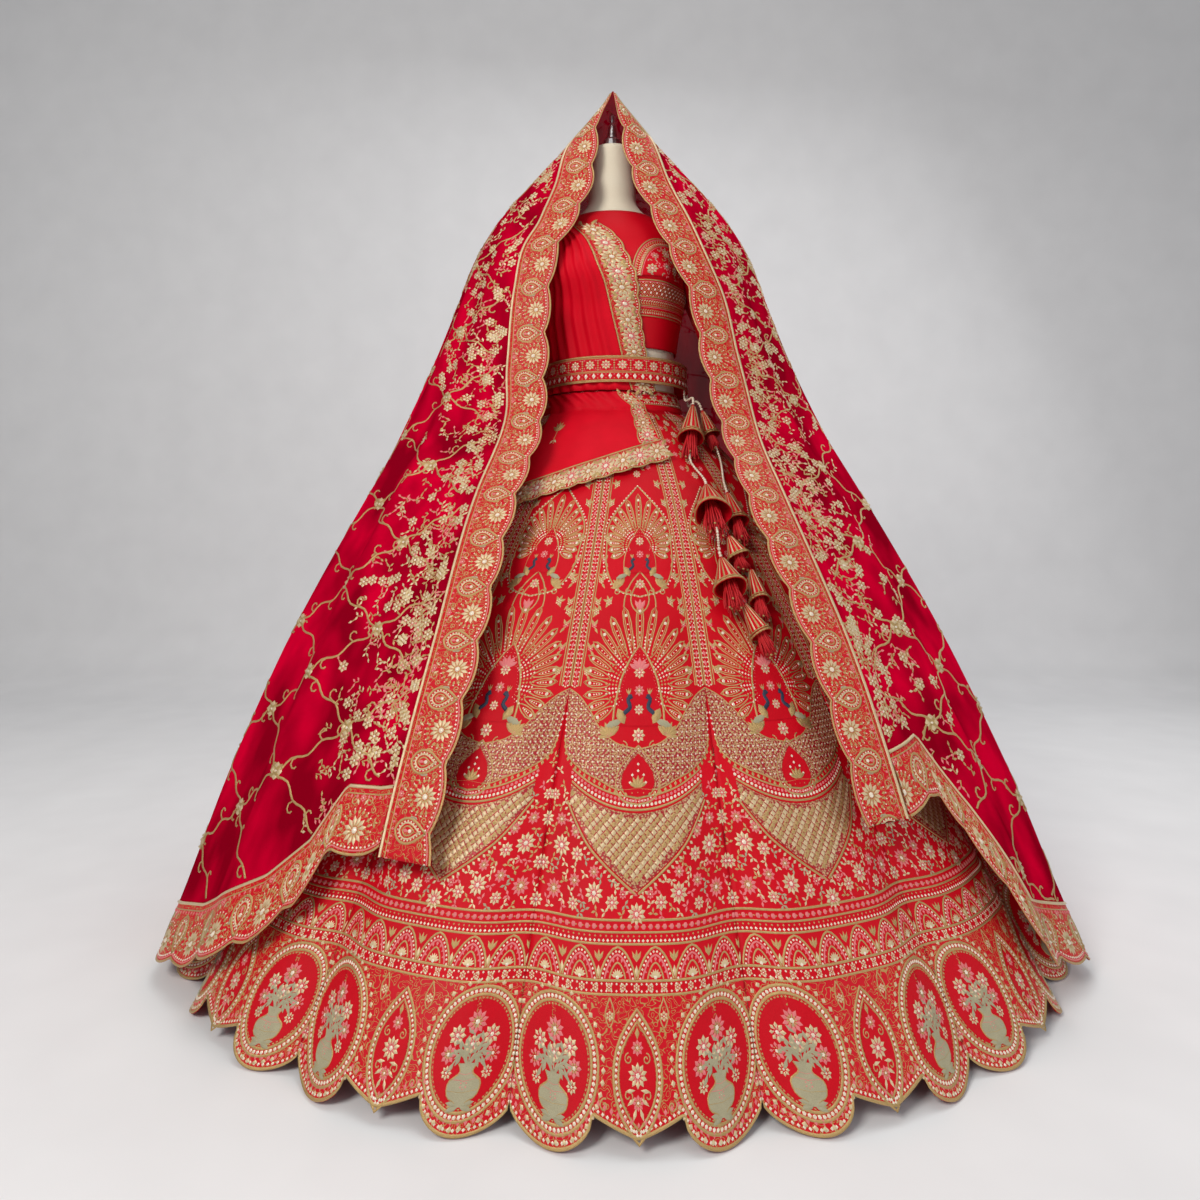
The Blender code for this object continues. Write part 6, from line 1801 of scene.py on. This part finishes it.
def net_chart(hand):
    """One half of the net's needlework."""
    work = Needlework()
    chance = np.random.default_rng(7 if hand > 0 else 8)
    for slope in (-1, 1):
        for n in range(-16, 26):
            t = np.arange(0.012, 1.75, 0.0080)
            wave = WAVE * np.sin(t * tau / WAVE_RUN)
            z = VINE_TOP - n * NET_CELL - slope * t * VINE_SLOPE + VINE_UP * wave
            t = t + slope * VINE_SIDE * wave
            keep = net_free(hand * t, z, -0.004) & (t > 0.020)
            cuts = np.flatnonzero(np.diff(keep.astype(int)))
            for part in np.split(np.arange(len(t)), cuts + 1):
                if len(part) < 4 or not keep[part[0]]:
                    continue
                work.line(np.stack([hand * t[part], z[part]], 1), VINE_CORD)
                for i in part[2::5]:
                    side = 1 if (i // 5) % 2 else -1
                    a = np.linspace(0, 4.2, 6)
                    r = CURL_RADIUS * (1 - 0.14 * a)
                    curl = np.stack([hand * t[i] + r * np.sin(a), z[i] + side * (0.0105 - r * np.cos(a))], 1)
                    work.line(curl, CURL_CORD)
    lattice = []
    for m in range(0, 14):
        for n in range(-4, 30):
            t = m * NET_CELL / (2 * VINE_SLOPE)
            z = VINE_TOP - n * NET_CELL / 2
            if (m + n) % 2 == 0 and net_free(np.array(hand * t), np.array(z), 0.018) and t > 0.02:
                lattice.append((hand * t, z))
    for x, z in lattice:
        work.flower(x, z, 0.0120, 4, CREAM, ZARI)
        work.petals([(x, z)], (pi / 4, 3 * pi / 4, 5 * pi / 4, 7 * pi / 4), 0.0150, 0.0052, ZARI)
    placed = 0
    for _ in range(SPRAY_TRIES):
        z = chance.uniform(0.20, 1.58)
        near = chance.exponential(0.055) + 0.010
        shoulder = z > SHOULDER_Z
        t = chance.uniform(0.01, 0.34) if shoulder and chance.random() < 0.5 else near
        if t > (0.36 if shoulder else 0.17) or not net_free(np.array(hand * t), np.array(z), 0.012):
            continue
        a = chance.uniform(0, tau)
        x = hand * t
        kind = placed % 4
        if kind == 0:
            work.flower(x, z, 0.0092, 6, CREAM)
        else:
            stem = np.array([(x, z), (x + 0.008 * sin(a), z + 0.008 * cos(a)),
                             (x + 0.017 * sin(a + 0.5), z + 0.017 * cos(a + 0.5))])
            work.line(stem, 0.0017)
            work.petals(stem[[0, 1, 2, 1]], a + np.array((-1.0, 1.0, 0.5, -0.8)), 0.0088, 0.0044,
                        (ZARI, CREAM, PINK)[placed % 3])
        placed += 1
        if placed > SPRAY_LIMIT:
            break
    return work


net_works = [work_piece(f"veil_net_work_{side}", net_chart(hand), lambda x, z, h, hand=hand: net_spot(
    hand, x, z, VEIL_WALL + h)) for side, hand in (("left", 1), ("right", -1))]


# The veil's borders: strips of satin filled with scrolls, large flowers and drops, which run
# down both fronts and round the hem, scalloped outside and piped in cream where they meet the net.
VEIL_PITCH, SCALLOP_DEPTH = 0.096, 0.011
FLOWER_UP, DROP_MIDDLE = 0.0300, 0.046
VEIL_DROP = ((0.0640, 0.0), (0.0600, 0.0090), (0.0500, 0.0150), (0.0390, 0.0135), (0.0290, 0.0070), (0.0200, 0.0))
DROP_CORDS = ((1.12, 0.0034, ZARI), (0.72, 0.0024, CREAM), (0.42, 0.0020, ZARI))
BORDER_ROWS, FRONT_POINTS, END_SHARE = 9, 210, 16 / 60


def front_border(left, across, z, off=0.0):
    """Places on a front border: across runs from the scalloped edge to the seam with the net."""
    edges = veil_edges(z)
    edge, seam = (edges[0], edges[1]) if left else (edges[3], edges[2])
    return veil(edge + (seam - edge) * across, z, off)


def veil_scallop(run):
    """How far the worked edge of a veil border draws in between its scallops."""
    phase = (run / VEIL_PITCH) % 1.0
    return SCALLOP_DEPTH * (1 - np.abs(np.sin(pi * phase)) ** 0.7)


def veil_drop(share, count):
    """The closed route of a drop, drawn in to a share of its size."""
    half = right_half(drawn_in(VEIL_DROP, DROP_MIDDLE, share), count)
    return np.vstack([half, half[::-1] * (-1, 1)])


def veil_border_chart(length, seed):
    """Scallops of a large flower and a drop motif in scrolls, beside a cream piping."""
    work = Needlework()
    chance = np.random.default_rng(seed)
    count = int(round(length / VEIL_PITCH))
    t = np.linspace(0, length, count * 12 + 1)
    edge = veil_scallop(t)
    wide, pearls = BORDER_WIDTH, 0.0265
    work.line(np.stack([t, edge + 0.0016], 1), 0.0032)
    work.line(np.stack([t, edge + 0.0062], 1), 0.0018, PINK)
    work.beads(paced(np.stack([t, edge + 0.0095], 1), 0.0064), 0.0018, PEARL, 5)
    work.level(0, length, wide - 0.0024, 0.0042, CREAM, len(t), height=0.7)
    work.level(0, length, wide - 0.0110, 0.0018, count=len(t))
    work.petals(paced([(0, wide - 0.0175), (length, wide - 0.0175)], 0.0098), 0.0, 0.0062, 0.0046, PINK)
    for i in range(count):
        x = (i + 0.5) * VEIL_PITCH
        work.flower(x, FLOWER_UP, 0.0182, 12, CREAM, ZARI, turn=chance.uniform(0, 1))
        fan = np.linspace(-1.9, 1.9, 13)
        way = np.stack([np.sin(fan), np.cos(fan)], 1)
        work.petals((x, FLOWER_UP) + way * 0.0190, fan, 0.0072, 0.0050, ZARI)
        work.beads((x, FLOWER_UP) + way * pearls, 0.0014, PEARL, 5)
        drop_x = x + VEIL_PITCH / 2
        for share, width, paint in DROP_CORDS:
            work.line(veil_drop(share, 10) + (drop_x, 0), width, paint)
        work.beads(paced(veil_drop(0.86, 16) + (drop_x, 0), 0.0052), 0.0015, PEARL, 5)
        work.petals([(drop_x, 0.0440)], 0.0, 0.0100, 0.0055, PINK)
        work.beads([(drop_x, 0.0420)], 0.0030)
        for hand in (-1, 1):
            work.curl(x + hand * 0.0120, 0.0650, 0.0062, 0, hand, 0.0016)
            work.curl(x + hand * 0.0235, 0.0560, 0.0045, 1.0, -hand, 0.0014)
            work.curl(drop_x + hand * 0.0165, 0.0230, 0.0050, 2.0, hand, 0.0014)
            work.petals([(x + hand * 0.028, 0.040)], hand * np.array((0.4, 1.6, 2.6)), 0.0075, 0.0038,
                        SAGE if i % 2 else ZARI)
            work.petals([(x + hand * 0.0045, 0.0600)], hand * 0.5, 0.0095, 0.0042, CREAM)
        work.flower(x, 0.0690, 0.0050, 6, PINK)
    return work


for left, name in ((True, "veil_border_front_left"), (False, "veil_border_front_right")):
    seam_turn = veil_edges(np.array(VEIL_HEM_LEVEL))[1 if left else 2]
    low = float(veil_hem(seam_turn))
    levels = np.linspace(1.628, low, 400)
    middle = front_border(left, np.full(400, 0.5), levels)
    run = np.concatenate(([0], np.cumsum(np.linalg.norm(np.diff(middle, axis=0), axis=1))))
    across, z = np.meshgrid(np.linspace(0, 1, BORDER_ROWS), np.interp(np.linspace(0, run[-1], FRONT_POINTS), run, levels))
    inset = veil_scallop(np.interp(-z, -levels, run)) / BORDER_WIDTH
    places = front_border(left, inset + (1 - inset) * across, z, VEIL_WALL)
    if left:
        places = places[:, ::-1]
    cloth = piece(name + "_cloth", places, net_faces(FRONT_POINTS, BORDER_ROWS), scroll, [name],
                  wall=VEIL_WALL)
    worked = work_piece(name + "_work", veil_border_chart(run[-1], 11 + left),
                        lambda x, z, h, left=left, run=run, levels=levels: front_border(
                            left, z / BORDER_WIDTH, np.interp(x, run, levels), VEIL_WALL + h))


def low_border(share, down, off=0.0):
    """Places on the lower borders: share runs round the hem, down from the net to the edge."""
    _, low_left, low_right, _ = veil_edges(np.array(VEIL_HEM_LEVEL))
    hem = veil_hem(low_left + (low_right - low_left) * share)
    z = np.maximum(hem + (BORDER_WIDTH - BORDER_LAP) * (1 - down), 0.003)
    _, left_seam, right_seam, _ = veil_edges(hem + BORDER_WIDTH)
    return veil(left_seam + (right_seam - left_seam) * share, z, off)


for name, first, last, flat_run in (("veil_border_end_left", 0, END_SHARE, 0.85),
                                    ("veil_border_back", END_SHARE, 1 - END_SHARE, 1.65),
                                    ("veil_border_end_right", 1 - END_SHARE, 1, 0.85)):
    shares = np.linspace(first, last, 500)
    middle = low_border(shares, np.full(500, 0.5))
    run = np.concatenate(([0], np.cumsum(np.linalg.norm(np.diff(middle, axis=0), axis=1))))
    columns = int(run[-1] / 0.008)
    share, down = np.meshgrid(np.interp(np.linspace(0, run[-1], columns), run, shares), np.linspace(0, 1, 10))
    keep = 1 - veil_scallop(np.interp(share, shares, run)) / BORDER_WIDTH
    cloth = piece(name + "_cloth", low_border(share, down * keep, VEIL_WALL)[:, ::-1], net_faces(10, columns), scroll,
                  [name], wall=VEIL_WALL)
    worked = work_piece(name + "_work", veil_border_chart(run[-1], 20 + int(first * 60)),
                        lambda x, z, h, run=run, shares=shares: low_border(
                            np.interp(x, run, shares), 1 - z / BORDER_WIDTH, VEIL_WALL + h))


# The corners of the box round the finished outfit, without the backdrop.
low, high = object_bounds()
